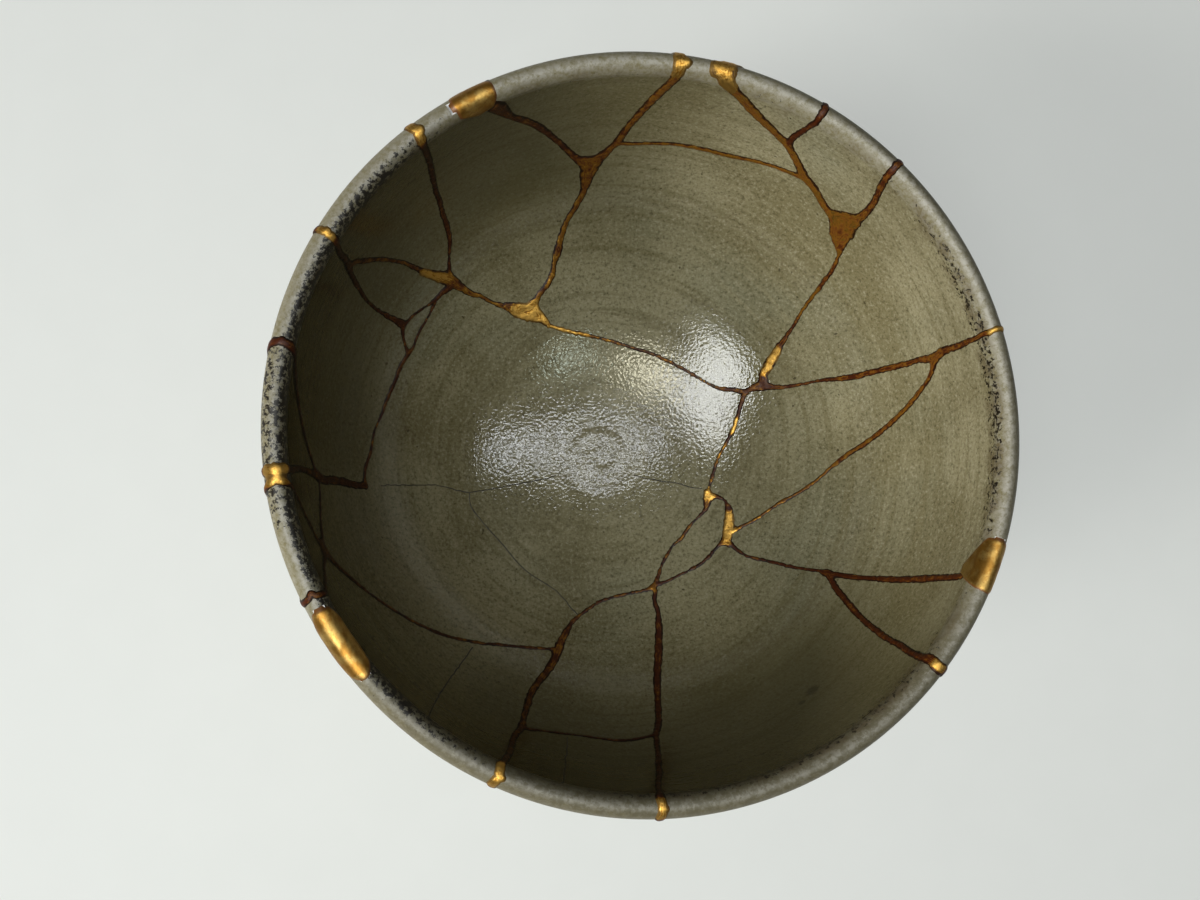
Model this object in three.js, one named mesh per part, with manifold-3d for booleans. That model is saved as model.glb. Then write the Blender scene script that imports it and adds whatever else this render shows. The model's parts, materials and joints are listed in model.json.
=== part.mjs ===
// A thrown stoneware bowl that was broken into shards and joined again with gold-covered lacquer.
// Millimetres, +Z up. The origin is on the bowl's axis, in the plane that the foot ring stands on.
// Seen from above, +X is to the right and +Y is up the picture.

import * as THREE from 'three';
import { mergeVertices } from 'three/addons/utils/BufferGeometryUtils.js';
import Module from 'manifold-3d';

// Driving sizes of the bowl.
const RIM_DIAMETER = 160; // across the outside of the lip
const HEIGHT = 95; // from the foot's underside to the lip's crest
const LIP_WALL = 5; // thickness of the wall under the lip
const LIP_ROUND = 3; // height of the rounded crest
const FLOOR_LEVEL = 13; // height of the inside's lowest point
const HIP_LEVEL = 5.5; // height of the outside's lowest point, if the foot were taken off
const INSIDE_FULLNESS = 3; // how squarely the inside turns from floor to wall
const INSIDE_BELLY = 2.3; // how far that turn bellies out
const OUTSIDE_FULLNESS = 2.9;
const OUTSIDE_BELLY = 2.25;

// The turned foot ring.
const FOOT_DIAMETER = 56;
const FOOT_WALL = 6;
const FOOT_CHAMFER = 0.8;
const FOOT_RECESS = 5; // depth of the hollow inside the ring

// The lacquer that joins the shards.
const SEAM_PROUD = 0.4; // how far the lacquer stands out from the clay, inside and outside
const CLEARANCE = 0.3; // between the lacquer and each shard's broken edge
const CUT_REACH = 5; // how far a cutting solid stands out from the wall on both sides
const CENTRE_LEVEL = 80; // height of the point on the axis that every break faces
const MITRE_LIMIT = 1.3;
const WELD = 0.03; // corners nearer than this are one
const WEB_SIDES = 6;

// Facets.
const AROUND = 40;
const INSIDE_STEPS = 6;
const OUTSIDE_STEPS = 5;
const LIP_STEPS = 4;
const PROFILE_SAMPLES = 400; // fine steps that measure the way up the inside
const HALVINGS = 40; // of a range, to find where two curves meet
const FILL_FINENESS = 1.5; // steps along a rim fill for each flat of the bowl
const MARKER_RADIUS = 0.5;

const rimRadius = RIM_DIAMETER / 2;
const lipInnerRadius = rimRadius - LIP_WALL;
const crestRadius = rimRadius - LIP_WALL / 2;
const springLevel = HEIGHT - LIP_ROUND; // where the lip's rounding starts
const footRadius = FOOT_DIAMETER / 2;
const footInnerRadius = footRadius - FOOT_WALL;
const breakCentre = new THREE.Vector3( 0, 0, CENTRE_LEVEL );

const wasm = await Module();
wasm.setup();

// The bowl's section

// A point of the inside or outside wall, at a share of the way from the lip (0) to the axis (1).
function wallSection( lipRadius, lowest, fullness, belly, drop ) {

	const radius = lipRadius * Math.pow( Math.max( 0, 1 - Math.pow( drop, fullness ) ), 1 / belly );
	return new THREE.Vector2( radius, springLevel - ( springLevel - lowest ) * drop );

}

function insideSection( turn, proud = 0 ) {

	const drop = Math.cos( turn );
	return wallSection( lipInnerRadius - proud, FLOOR_LEVEL + proud, INSIDE_FULLNESS, INSIDE_BELLY, drop );

}

function outsideSection( turn, proud = 0 ) {

	const drop = Math.cos( turn );
	return wallSection( rimRadius + proud, HIP_LEVEL - proud, OUTSIDE_FULLNESS, OUTSIDE_BELLY, drop );

}

// The turn at which the outside wall meets the foot ring.
function turnAtRadius( section, radius ) {

	let low = 0;
	let high = Math.PI / 2;
	for ( let i = 0; i < HALVINGS; i ++ ) {

		const middle = ( low + high ) / 2;
		if ( section( middle ).x < radius ) low = middle;
		else high = middle;

	}

	return ( low + high ) / 2;

}

// The lip's round crest, from its inner edge to its outer edge.
function lipSection( proud ) {

	const points = [];
	for ( let i = 0; i <= LIP_STEPS; i ++ ) {

		const angle = Math.PI * ( 1 - i / LIP_STEPS );
		points.push( new THREE.Vector2(
			crestRadius + ( LIP_WALL / 2 + proud ) * Math.cos( angle ),
			springLevel + ( LIP_ROUND + proud ) * Math.sin( angle ) ) );

	}

	return points;

}

// The whole closed section, from the recess's middle up the outside, over the lip and down the inside.
// The walls and the lip can stand proud of the clay, as the lacquer does.
function bowlSection( proud = 0 ) {

	const points = [
		new THREE.Vector2( 0, FOOT_RECESS ),
		new THREE.Vector2( footInnerRadius - FOOT_CHAMFER, FOOT_RECESS ),
		new THREE.Vector2( footInnerRadius, FOOT_CHAMFER ),
		new THREE.Vector2( footInnerRadius + FOOT_CHAMFER, 0 ),
		new THREE.Vector2( footRadius - FOOT_CHAMFER, 0 ),
		new THREE.Vector2( footRadius, FOOT_CHAMFER ),
	];
	const footTurn = turnAtRadius( outsideSection, footRadius );
	for ( let i = 0; i < OUTSIDE_STEPS; i ++ ) {

		points.push( outsideSection( footTurn + ( Math.PI / 2 - footTurn ) * i / OUTSIDE_STEPS, proud ) );

	}

	points.push( ...lipSection( proud ).reverse() );
	for ( let i = INSIDE_STEPS - 1; i >= 0; i -- ) {

		points.push( insideSection( Math.PI / 2 * i / INSIDE_STEPS, proud ) );

	}

	points[ points.length - 1 ].x = 0;
	return points;

}

// Places on the wall
// A place is an angle about the axis in degrees and a share of the way, in hundredths,
// from the middle of the floor up the inside to the lip's crest.

const climb = [];
for ( let i = 0; i <= PROFILE_SAMPLES; i ++ ) {

	climb.push( insideSection( Math.PI / 2 * i / PROFILE_SAMPLES ) );

}

const climbLength = [ 0 ];
for ( let i = 1; i < climb.length; i ++ ) {

	climbLength.push( climbLength[ i - 1 ] + climb[ i ].distanceTo( climb[ i - 1 ] ) );

}

const wallLength = climbLength[ PROFILE_SAMPLES ];
const lipLength = quarterLength( LIP_WALL / 2, LIP_ROUND );
const fullLength = wallLength + lipLength;

function quarterLength( across, up ) {

	let length = 0;
	for ( let i = 0; i < PROFILE_SAMPLES; i ++ ) {

		const a = Math.PI / 2 * ( i + 0.5 ) / PROFILE_SAMPLES;
		length += Math.hypot( across * Math.sin( a ), up * Math.cos( a ) ) * Math.PI / 2 / PROFILE_SAMPLES;

	}

	return length;

}

// Radius, height and outward slope of the inside at a share; above the wall it goes straight up.
function insideAt( share ) {

	const way = share / 100 * fullLength;
	const above = way - wallLength;
	if ( above >= 0 ) return { radius: lipInnerRadius, height: springLevel + above, out: 1, down: 0 };
	let i = climbLength.findIndex( ( length ) => length > way );
	i = Math.max( 1, i );
	const part = ( way - climbLength[ i - 1 ] ) / ( climbLength[ i ] - climbLength[ i - 1 ] );
	const point = climb[ i - 1 ].clone().lerp( climb[ i ], part );
	const along = climb[ i ].clone().sub( climb[ i - 1 ] ).normalize();
	return { radius: point.x, height: point.y, out: along.y, down: along.x };

}

// How thick the wall is, measured square to the inside.
function thicknessAt( inside ) {

	if ( inside.height > springLevel ) return LIP_WALL;
	let near = 0;
	let far = FLOOR_LEVEL * 2;
	for ( let i = 0; i < HALVINGS; i ++ ) {

		const middle = ( near + far ) / 2;
		const radius = inside.radius + inside.out * middle;
		const height = inside.height - inside.down * middle;
		const drop = ( springLevel - height ) / ( springLevel - HIP_LEVEL );
		const wall = drop < 1 ? wallSection( rimRadius, HIP_LEVEL, OUTSIDE_FULLNESS, OUTSIDE_BELLY, drop ).x : 0;
		if ( radius < wall ) near = middle;
		else far = middle;

	}

	return near;

}

function place( degrees, share ) {

	const angle = THREE.MathUtils.degToRad( degrees );
	const inside = insideAt( share );
	const radial = new THREE.Vector3( Math.cos( angle ), Math.sin( angle ), 0 );
	return {
		point: radial.clone().multiplyScalar( inside.radius ).setZ( inside.height ),
		outward: radial.clone().multiplyScalar( inside.out ).setZ( - inside.down ),
		thickness: thicknessAt( inside ),
	};

}

// The breaks
// Each break runs through stations of [ degrees, share, width in mm ], from one junction to the next.

const TOP_SHARE = 101.5; // a share above the crest, so that a break cuts the lip right through

const BREAKS = [
	// the longest one, from the rim's north-east round the floor's east and south sides to the rim's south
	[ [ 47.6, TOP_SHARE, 2 ], [ 45, 86, 2.1 ], [ 44.4, 77, 4.6 ], [ 42.2, 70.6, 1.4 ], [ 40, 65.1, 1.2 ],
		[ 36.8, 53.5, 1 ], [ 33.4, 46.9, 1.3 ], [ 29.5, 41.3, 3 ], [ 24.2, 37.5, 2.8 ], [ 24.1, 33.6, 1.4 ],
		[ - 7.2, 24.2, 1 ], [ - 18.5, 23.9, 2 ], [ - 26, 24.8, 1.4 ], [ - 51.9, 24.1, 1 ],
		[ - 69.3, 29.3, 1.1 ], [ - 92.1, 30.7, 1 ], [ - 98.9, 34.1, 1.1 ], [ - 104.5, 42.9, 2.4 ],
		[ - 109.6, 58.5, 1.9 ], [ - 110.3, 67.2, 1.8 ], [ - 115, 96, 1.7 ], [ - 114.7, TOP_SHARE, 2.4 ] ],
	// the rim's north, down to the pool north-west of the floor
	[ [ 85.8, TOP_SHARE, 4.2 ], [ 86.6, 98, 2.8 ], [ 92.3, 71.4, 2.2 ], [ 96.8, 63.5, 3.6 ],
		[ 99.2, 54.1, 1.8 ], [ 110.1, 37.6, 1.8 ], [ 117, 34, 4 ] ],
	// the wide one from the rim's north to the large pool in the north-east, and its branches
	[ [ 79.5, TOP_SHARE, 6.4 ], [ 78.8, 98, 4.4 ], [ 75, 94.8, 3 ], [ 69.2, 89.6, 2.8 ],
		[ 63.4, 85.9, 2.6 ], [ 57.3, 80, 2.8 ], [ 51.5, 76.8, 2.6 ], [ 45.4, 75.5, 4.4 ] ],
	[ [ 62.1, TOP_SHARE, 1.8 ], [ 63.4, 85.9, 1.8 ] ],
	[ [ 57.3, 79.5, 2 ], [ 71.2, 74.1, 1.8 ], [ 92.3, 71.2, 1.7 ] ],
	// the rim's east, with its branch to the floor's south-east
	[ [ 16.4, TOP_SHARE, 1.8 ], [ 16, 94.8, 1.4 ], [ 15.6, 81, 2.6 ], [ 17.2, 57.3, 1.6 ],
		[ 20.4, 42.9, 1 ], [ 24.2, 37.5, 2.6 ] ],
	[ [ 15.4, 80.2, 2.2 ], [ 9.9, 72.6, 1.5 ], [ - 0.7, 52.3, 1.4 ], [ - 18.1, 37.3, 1 ],
		[ - 31, 31.8, 1.4 ] ],
	// from the floor's south-east up to the large chip in the rim's east, and its neighbour
	[ [ 341.4, 24, 2.4 ], [ 340.8, 27, 1.1 ], [ 337.1, 29.2, 2.2 ], [ 331.8, 30.5, 3 ], [ 325.2, 32, 2.6 ],
		[ 324.6, 36, 1 ], [ 330.3, 54.6, 1.8 ], [ 332.7, 68.5, 1.6 ], [ 335.2, 93.5, 2.2 ] ],
	[ [ 319.5, TOP_SHARE, 3 ], [ 319.6, 95.4, 2 ], [ 321.5, 80.4, 1.7 ], [ 324.9, 65.4, 1.8 ],
		[ 330.3, 54.6, 1.8 ] ],
	// south of the floor
	[ [ 325.2, 32, 1.6 ], [ 313.2, 30.8, 1 ], [ 290.7, 29.3, 1.1 ] ],
	[ [ 290.7, 29.3, 1.2 ], [ 288.7, 34.8, 1.4 ], [ 285, 41.6, 2.2 ], [ 279.9, 53.5, 1.8 ],
		[ 276.3, 64.8, 1.7 ], [ 270.2, 94.8, 1.6 ], [ 270.3, TOP_SHARE, 2.2 ] ],
	[ [ 276.3, 64.8, 1.2 ], [ 269.4, 66, 1.3 ], [ 261.1, 65.2, 1 ], [ 249.7, 67.2, 1.8 ] ],
	// south-west and west
	[ [ 255.5, 42.9, 1.6 ], [ 247.8, 44.1, 1.1 ], [ 228, 53.2, 1 ], [ 216.8, 59.8, 1.1 ],
		[ 207.6, 67.9, 1.5 ], [ 200.1, 77.9, 2.6 ], [ 196, 83.5, 1.4 ], [ 191.9, 91.6, 1.4 ],
		[ 188.2, TOP_SHARE, 3 ] ],
	[ [ 206.4, TOP_SHARE, 1.5 ], [ 206.2, 94.8, 1.5 ], [ 203, 83.5, 1.6 ], [ 200.1, 77.9, 2.6 ],
		[ 195, 73.8, 1.2 ], [ 187.5, 70.6, 1.6 ] ],
	[ [ 187.6, TOP_SHARE, 3.6 ], [ 187.7, 93.5, 1.8 ], [ 186.7, 81.6, 1.6 ], [ 187.4, 70.6, 2.6 ],
		[ 189.1, 53.3, 1.8 ] ],
	[ [ 168, TOP_SHARE, 2.4 ], [ 170.6, 97, 2.4 ], [ 173.1, 91, 2.2 ], [ 179, 80.4, 1.6 ],
		[ 187.3, 70.6, 2 ] ],
	[ [ 189.1, 53.3, 1.8 ], [ 181.4, 51.3, 1 ], [ 162.6, 47.6, 1.4 ], [ 155.3, 47.2, 1.2 ],
		[ 147.3, 47.6, 1 ], [ 140.4, 49, 1.2 ] ],
	// north-west
	[ [ 155.3, 47.2, 1 ], [ 150.2, 51.8, 1.5 ], [ 146, 51.2, 1 ], [ 140.4, 49, 1.3 ],
		[ 134.6, 49.8, 2.6 ] ],
	[ [ 151.2, TOP_SHARE, 2.2 ], [ 151.6, 91.6, 1.8 ], [ 150.9, 81, 2.2 ], [ 151.8, 62.5, 1 ],
		[ 150.2, 51.8, 2 ] ],
	[ [ 150.9, 81, 2 ], [ 145.2, 71, 1.4 ], [ 139.1, 57.9, 1.7 ], [ 134.4, 50, 3.2 ], [ 130.5, 43.2, 1.4 ],
		[ 126.1, 38.2, 1.6 ], [ 118, 33.6, 4.4 ], [ 113.2, 29.6, 1.4 ], [ 76.9, 24, 1 ], [ 63.1, 24.4, 1 ],
		[ 34.8, 27.6, 1 ], [ 24.1, 33.6, 1.4 ] ],
	[ [ 130.2, TOP_SHARE, 2.8 ], [ 130.8, 97, 2.2 ], [ 129.4, 84, 1.6 ], [ 128.9, 69.8, 1.5 ],
		[ 129.8, 57.5, 1.3 ], [ 134.2, 50.2, 2 ] ],
	[ [ 116.6, 94.5, 3.4 ], [ 114.8, 90.5, 2.6 ], [ 102.6, 71, 1.9 ], [ 96.8, 63.5, 3 ] ],
];

// Pools of lacquer where breaks meet: [ degrees, share, radius in mm ].
const WEBS = [
	[ 96.8, 64, 3.1 ], [ 45.4, 76.6, 3.6 ], [ 341, 24, 1.9 ], [ 200.1, 77.9, 2.6 ], [ 134.7, 50.3, 2.5 ],
	[ 117.4, 33.8, 3.1 ],
];

// Chips that the rim lost, built up again: degrees from and to at the crest, share of the chip's bottom
// and how far the bottom draws in at each end, in degrees.
const CHIPS = {
	rim_fill_east: { from: 333.4, to: 342.8, bottomShare: 93.2, drawn: [ 1, 4.4 ] },
	rim_fill_southwest: { from: 208, to: 221.2, bottomShare: 96.2, drawn: [ 1.8, 3.8 ] },
	rim_fill_northwest: { from: 116, to: 125, bottomShare: 94.6, drawn: [ 0.5, 5.4 ] },
};

// One place inside each shard.
const SHARDS = {
	rim_shard_north: [ 101, 85 ],
	rim_shard_north_northeast: [ 80, 82 ],
	rim_chip_northeast: [ 68, 95 ],
	rim_shard_northeast: [ 55, 90 ],
	rim_shard_east_northeast: [ 30, 75 ],
	rim_shard_east: [ 355, 80 ],
	rim_shard_east_southeast: [ 327, 85 ],
	rim_shard_southeast: [ 300, 60 ],
	rim_shard_south: [ 260, 85 ],
	rim_shard_southwest: [ 228, 75 ],
	rim_shard_west_southwest: [ 200, 91 ],
	wall_wedge_west: [ 191, 80 ],
	rim_chip_west: [ 180, 91 ],
	rim_shard_west_northwest: [ 165, 70 ],
	rim_shard_northwest: [ 140, 80 ],
	rim_shard_north_northwest: [ 120, 60 ],
	wall_shard_northwest: [ 146, 60 ],
	wall_sliver_northwest: [ 148.6, 49.3 ],
	wall_shard_north: [ 70, 50 ],
	wall_shard_east: [ 0, 35 ],
	wall_chip_southeast: [ 312, 27.5 ],
	wall_shard_south: [ 265, 50 ],
	foot_shard: [ 200, 10 ],
};

// Solids

function toSolid( geometry ) {

	for ( const name of [ 'normal', 'uv' ] ) geometry.deleteAttribute( name );
	const merged = mergeVertices( geometry );
	return new wasm.Manifold( new wasm.Mesh( {
		numProp: 3,
		vertProperties: merged.attributes.position.array,
		triVerts: new Uint32Array( merged.index.array ),
	} ) );

}

// The solid as a geometry. Corners that all but touch are made one, and the triangles that this flattens go.
function toGeometry( solid ) {

	const mesh = solid.getMesh();
	const raw = new THREE.BufferGeometry();
	raw.setAttribute( 'position', new THREE.BufferAttribute( mesh.vertProperties, 3 ) );
	raw.setIndex( new THREE.BufferAttribute( mesh.triVerts, 1 ) );
	const geometry = mergeVertices( raw, WELD );
	const corners = geometry.index.array;
	const kept = [];
	for ( let i = 0; i < corners.length; i += 3 ) {

		const [ a, b, c ] = corners.slice( i, i + 3 );
		if ( a !== b && b !== c && c !== a ) kept.push( a, b, c );

	}

	geometry.setIndex( kept );
	geometry.computeVertexNormals();
	return geometry;

}

function lathe( points ) {

	const geometry = new THREE.LatheGeometry( points, AROUND );
	geometry.rotateX( Math.PI / 2 );
	return toSolid( geometry );

}

// A closed solid of rings of corners, each ring the same length, capped at both ends.
function skinned( rings ) {

	const corners = rings[ 0 ].length;
	const indices = [];
	for ( let i = 0; i < rings.length - 1; i ++ ) {

		for ( let j = 0; j < corners; j ++ ) {

			const a = i * corners + j;
			const b = i * corners + ( j + 1 ) % corners;
			indices.push( a, b, b + corners, a, b + corners, a + corners );

		}

	}

	const last = ( rings.length - 1 ) * corners;
	for ( let j = 1; j < corners - 1; j ++ ) {

		indices.push( 0, j + 1, j, last, last + j, last + j + 1 );

	}

	const geometry = new THREE.BufferGeometry();
	const numbers = rings.flat().flatMap( ( corner ) => corner.toArray() );
	geometry.setAttribute( 'position', new THREE.Float32BufferAttribute( numbers, 3 ) );
	geometry.setIndex( indices );
	return toSolid( geometry );

}

// A corner of a cutting solid: the point moved away from the breaks' centre. As every edge through the wall
// runs out from that one point, the sides of a break are flat from one station to the next.
function movedOut( point, distance ) {

	return point.clone().addScaledVector( point.clone().sub( breakCentre ).normalize(), distance );

}

// A wall of lacquer that follows one break and goes through the bowl, grown sideways by a margin.
function breakSolid( stations, margin ) {

	const places = stations.map( ( [ degrees, share ] ) => place( degrees, share ) );
	const ways = places.slice( 1 ).map( ( at, i ) => at.point.clone().sub( places[ i ].point ).normalize() );
	const rings = places.map( ( { point, thickness }, i ) => {

		const before = ways[ Math.max( 0, i - 1 ) ];
		const after = ways[ Math.min( ways.length - 1, i ) ];
		const way = before.clone().add( after ).normalize();
		const mitre = Math.min( MITRE_LIMIT, 1 / way.dot( after ) );
		const halfWidth = ( stations[ i ][ 2 ] / 2 + margin ) * mitre;
		const sight = point.clone().sub( breakCentre );
		const across = new THREE.Vector3().crossVectors( way, sight ).setLength( halfWidth );
		const spot = point.clone();
		if ( i === 0 ) spot.addScaledVector( way, - margin );
		if ( i === places.length - 1 ) spot.addScaledVector( way, margin );
		const right = spot.clone().add( across );
		const left = spot.sub( across );
		const depth = thickness + CUT_REACH;
		return [
			movedOut( right, - CUT_REACH ), movedOut( left, - CUT_REACH ),
			movedOut( left, depth ), movedOut( right, depth ),
		];

	} );
	return skinned( rings );

}

// A pool of lacquer that goes through the bowl like a plug.
function webSolid( [ degrees, share, radius ], margin ) {

	const { point, thickness } = place( degrees, share );
	const across = new THREE.Vector3( - point.y, point.x, 0 ).normalize();
	const up = new THREE.Vector3().crossVectors( point.clone().sub( breakCentre ), across ).normalize();
	const rim = [];
	for ( let i = 0; i < WEB_SIDES; i ++ ) {

		const angle = 2 * Math.PI * i / WEB_SIDES;
		rim.push( point.clone()
			.addScaledVector( across, ( radius + margin ) * Math.cos( angle ) )
			.addScaledVector( up, ( radius + margin ) * Math.sin( angle ) ) );

	}

	const ends = [ - CUT_REACH, thickness + CUT_REACH ];
	return skinned( ends.map( ( depth ) => rim.map( ( corner ) => movedOut( corner, depth ) ) ) );

}

// A rim chip's block, wider at the crest than at its bottom, standing through and above the lip.
function chipSolid( { from, to, bottomShare, drawn }, margin ) {

	const marginDegrees = THREE.MathUtils.radToDeg( margin / crestRadius );
	const steps = Math.ceil( ( to - from ) / ( 360 / AROUND ) * FILL_FINENESS );
	const base = insideAt( bottomShare ).height - margin;
	const rings = [];
	for ( let i = 0; i <= steps; i ++ ) {

		const share = i / steps;
		const upper = THREE.MathUtils.lerp( from - marginDegrees, to + marginDegrees, share );
		const lower = THREE.MathUtils.lerp(
			from + drawn[ 0 ] - marginDegrees, to - drawn[ 1 ] + marginDegrees, share );
		const corner = ( radius, degrees, height ) => {

			const angle = THREE.MathUtils.degToRad( degrees );
			return new THREE.Vector3( radius * Math.cos( angle ), radius * Math.sin( angle ), height );

		};

		rings.push( [
			corner( lipInnerRadius - CUT_REACH, lower, base ),
			corner( lipInnerRadius - CUT_REACH, upper, HEIGHT + CUT_REACH ),
			corner( rimRadius + CUT_REACH, upper, HEIGHT + CUT_REACH ),
			corner( rimRadius + CUT_REACH, lower, base ),
		] );

	}

	return skinned( rings );

}

function joined( solids ) {

	return solids.reduce( ( whole, solid ) => whole.add( solid ) );

}

// All breaks and pools as one solid that stands out from the wall on both sides.
function network( margin ) {

	return joined( [
		...BREAKS.map( ( stations ) => breakSolid( stations, margin ) ),
		...WEBS.map( ( web ) => webSolid( web, margin ) ),
	] );

}

const bowl = lathe( bowlSection() );
const chipBlocks = Object.values( CHIPS ).map( ( chip ) => chipSolid( chip, 0 ) );
const chipCuts = Object.values( CHIPS ).map( ( chip ) => chipSolid( chip, CLEARANCE ) );

const seams = network( 0 ).intersect( lathe( bowlSection( SEAM_PROUD ) ) ).subtract( joined( chipCuts ) );
const clay = bowl.subtract( network( CLEARANCE ) ).subtract( joined( chipCuts ) );
const fills = chipBlocks.map( ( block ) => block.intersect( bowl ) );

// Named pieces

const glaze = new THREE.MeshStandardMaterial( { color: 0x8f8d78, roughness: 0.3, metalness: 0 } );
const lacquer = new THREE.MeshStandardMaterial( { color: 0x7a4a1c, roughness: 0.4, metalness: 0.5 } );
const gold = new THREE.MeshStandardMaterial( { color: 0xc9a24a, roughness: 0.35, metalness: 1 } );

const group = new THREE.Group();

function addPiece( name, solid, material ) {

	const mesh = new THREE.Mesh( toGeometry( solid ), material );
	mesh.name = name;
	group.add( mesh );

}

// A small marker in the middle of the wall, which tells one shard from the next.
function markerAt( [ degrees, share ] ) {

	const at = place( degrees, share );
	const marker = new THREE.OctahedronGeometry( MARKER_RADIUS );
	const middle = at.point.clone().addScaledVector( at.outward, at.thickness / 2 );
	marker.translate( middle.x, middle.y, middle.z );
	return toSolid( marker );

}

const loose = clay.decompose();
for ( const [ name, seed ] of Object.entries( SHARDS ) ) {

	const marker = markerAt( seed );
	const index = loose.findIndex( ( solid ) => solid.intersect( marker ).volume() > 0 );
	if ( index < 0 ) throw new Error( `no shard at ${ name }` );
	addPiece( name, loose.splice( index, 1 )[ 0 ], glaze );

}

addPiece( 'lacquer_seams', seams, lacquer );
Object.keys( CHIPS ).forEach( ( name, i ) => addPiece( name, fills[ i ], gold ) );

export default group;
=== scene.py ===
# A deep thrown stoneware bowl that broke into shards and was joined again with gold-dusted lacquer.
# A place on the bowl is (degrees, share): degrees about the axis, and hundredths of the way from the
# middle of the floor up the inside to the lip's crest. Past 100 the share runs down the outside.
# Sizes are millimetres unless a name says otherwise.
import json
import math
import bpy
import numpy as np
from mathutils import Matrix, Vector, noise

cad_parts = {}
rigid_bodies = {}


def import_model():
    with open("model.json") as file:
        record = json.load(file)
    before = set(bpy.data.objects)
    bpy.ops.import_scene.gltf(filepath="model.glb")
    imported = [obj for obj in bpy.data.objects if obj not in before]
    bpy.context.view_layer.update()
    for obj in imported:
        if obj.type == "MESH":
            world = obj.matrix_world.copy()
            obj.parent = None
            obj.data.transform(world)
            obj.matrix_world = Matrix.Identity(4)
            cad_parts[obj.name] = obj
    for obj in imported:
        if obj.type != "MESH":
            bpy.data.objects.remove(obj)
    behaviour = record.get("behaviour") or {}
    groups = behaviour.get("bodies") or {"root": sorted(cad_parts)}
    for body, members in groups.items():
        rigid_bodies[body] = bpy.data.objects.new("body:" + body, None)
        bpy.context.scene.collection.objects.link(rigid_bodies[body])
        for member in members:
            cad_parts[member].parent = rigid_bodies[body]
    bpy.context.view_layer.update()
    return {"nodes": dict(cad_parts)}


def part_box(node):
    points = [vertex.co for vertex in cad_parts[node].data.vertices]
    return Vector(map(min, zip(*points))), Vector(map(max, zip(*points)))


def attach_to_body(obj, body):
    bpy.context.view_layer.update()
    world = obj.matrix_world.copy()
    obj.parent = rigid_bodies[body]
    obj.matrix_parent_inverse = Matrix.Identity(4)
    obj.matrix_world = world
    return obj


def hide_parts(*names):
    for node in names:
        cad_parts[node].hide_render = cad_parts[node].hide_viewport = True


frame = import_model()

MM = 0.001

# Driving sizes of the bowl, the same as the frame's.
RIM_RADIUS = 80.0
HEIGHT = 95.0
LIP_WALL = 5.0
LIP_ROUND = 3.0
FLOOR_LEVEL = 13.0
HIP_LEVEL = 5.5
INSIDE_FULLNESS = 3.0
INSIDE_BELLY = 2.3
OUTSIDE_FULLNESS = 2.9
OUTSIDE_BELLY = 2.25
FOOT_RADIUS = 28.0
FOOT_WALL = 6.0
FOOT_CHAMFER = 0.8
FOOT_RECESS = 5.0

LIP_INNER = RIM_RADIUS - LIP_WALL
CREST_RADIUS = RIM_RADIUS - LIP_WALL / 2
SPRING = HEIGHT - LIP_ROUND

# How fine the thrown surface is, and how near two of its points are one.
AROUND = 320
INSIDE_ROW = 0.8
OUTSIDE_ROW = 2.2
LIP_ROW = 0.45
FOOT_ROW = 1.2
WELD = 0.01

# The potter's throwing rings inside, and the swirl that the finger left in the middle of the floor.
RING_PITCH = 3.3
RING_DEPTH = 0.016
BUTTON_RADIUS = 7.8
BUTTON_HEIGHT = 0.16
BUTTON_SLOPE = (0.66, 1.26)  # shares of the button's radius, from its flat top out to the floor
SWIRL_PITCH = 5.2
SWIRL_DEPTH = 0.04
SWIRL_END = 1.9  # of the button's radius

# The lacquer.
LACQUER_PROUD = 0.34
LACQUER_SKIRT = 0.4
LACQUER_SHOULDER = 0.42
EDGE_LEAST = 0.1
EDGE_SHARE = 0.34
GAP_SHARE = 0.55
NARROWEST_GAP = 0.45
CUT_OVERRUN = 0.5
CUT_INSIDE = 3.0
CUT_OUTSIDE = 14.0
FILL_OVERLAP_DEGREES = 0.3
FILL_OVERLAP_SHARE = 0.4
FILL_CUT_RINGS = 24
FILL_TUCK = 0.35
FILL_PROUD = 0.2
LACQUER_LUMPS = 0.3
LACQUER_LUMP_SIZE = 1.5
FILL_LUMPS = 0.14
FILL_LUMP_SIZE = 2.2
LUMPS_FROM = 0.5
LACQUER_SEED = 3.0
FILL_SEED = 5.0
POOL_BLEND = 0.3
RAGGED_EDGE = [(0.24, 0.85, 1), (0.17, 2.6, 2)]  # how far, how large and seed
RAGGED_REACH = 1.6
SEARCH_REACH = 2.4
OUT_OF_REACH = -9.0
BREAK_SPACING = 40
SEAM_COLUMNS = 1080
SEAM_ROW = 0.42
SEAM_LOWEST = 18.0
RUN_STEP = 1.2


# The bowl's section

def wall_curve(lip_radius, lowest, fullness, belly, drop):
    """Radius and height of a thrown wall. drop goes from 0 at the lip to 1 on the axis."""
    radius = lip_radius * np.maximum(0.0, 1.0 - drop ** fullness) ** (1.0 / belly)
    return radius, SPRING - (SPRING - lowest) * drop


def inside_wall():
    drop = np.cos(np.linspace(0.0, math.pi / 2, 3000))
    return wall_curve(LIP_INNER, FLOOR_LEVEL, INSIDE_FULLNESS, INSIDE_BELLY, drop)


def outside_radius(height):
    drop = np.clip((SPRING - height) / (SPRING - HIP_LEVEL), 0.0, 1.0)
    return wall_curve(RIM_RADIUS, HIP_LEVEL, OUTSIDE_FULLNESS, OUTSIDE_BELLY, drop)[0]


def length_along(radius, height):
    return np.r_[0.0, np.cumsum(np.hypot(np.diff(radius), np.diff(height)))]


def left_of(radius, height):
    """Unit directions to the left of a line in the section: out of the clay, the way the skin is drawn."""
    along_r = np.gradient(radius)
    along_z = np.gradient(height)
    size = np.maximum(np.hypot(along_r, along_z), 1e-9)
    return -along_z / size, along_r / size


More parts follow.
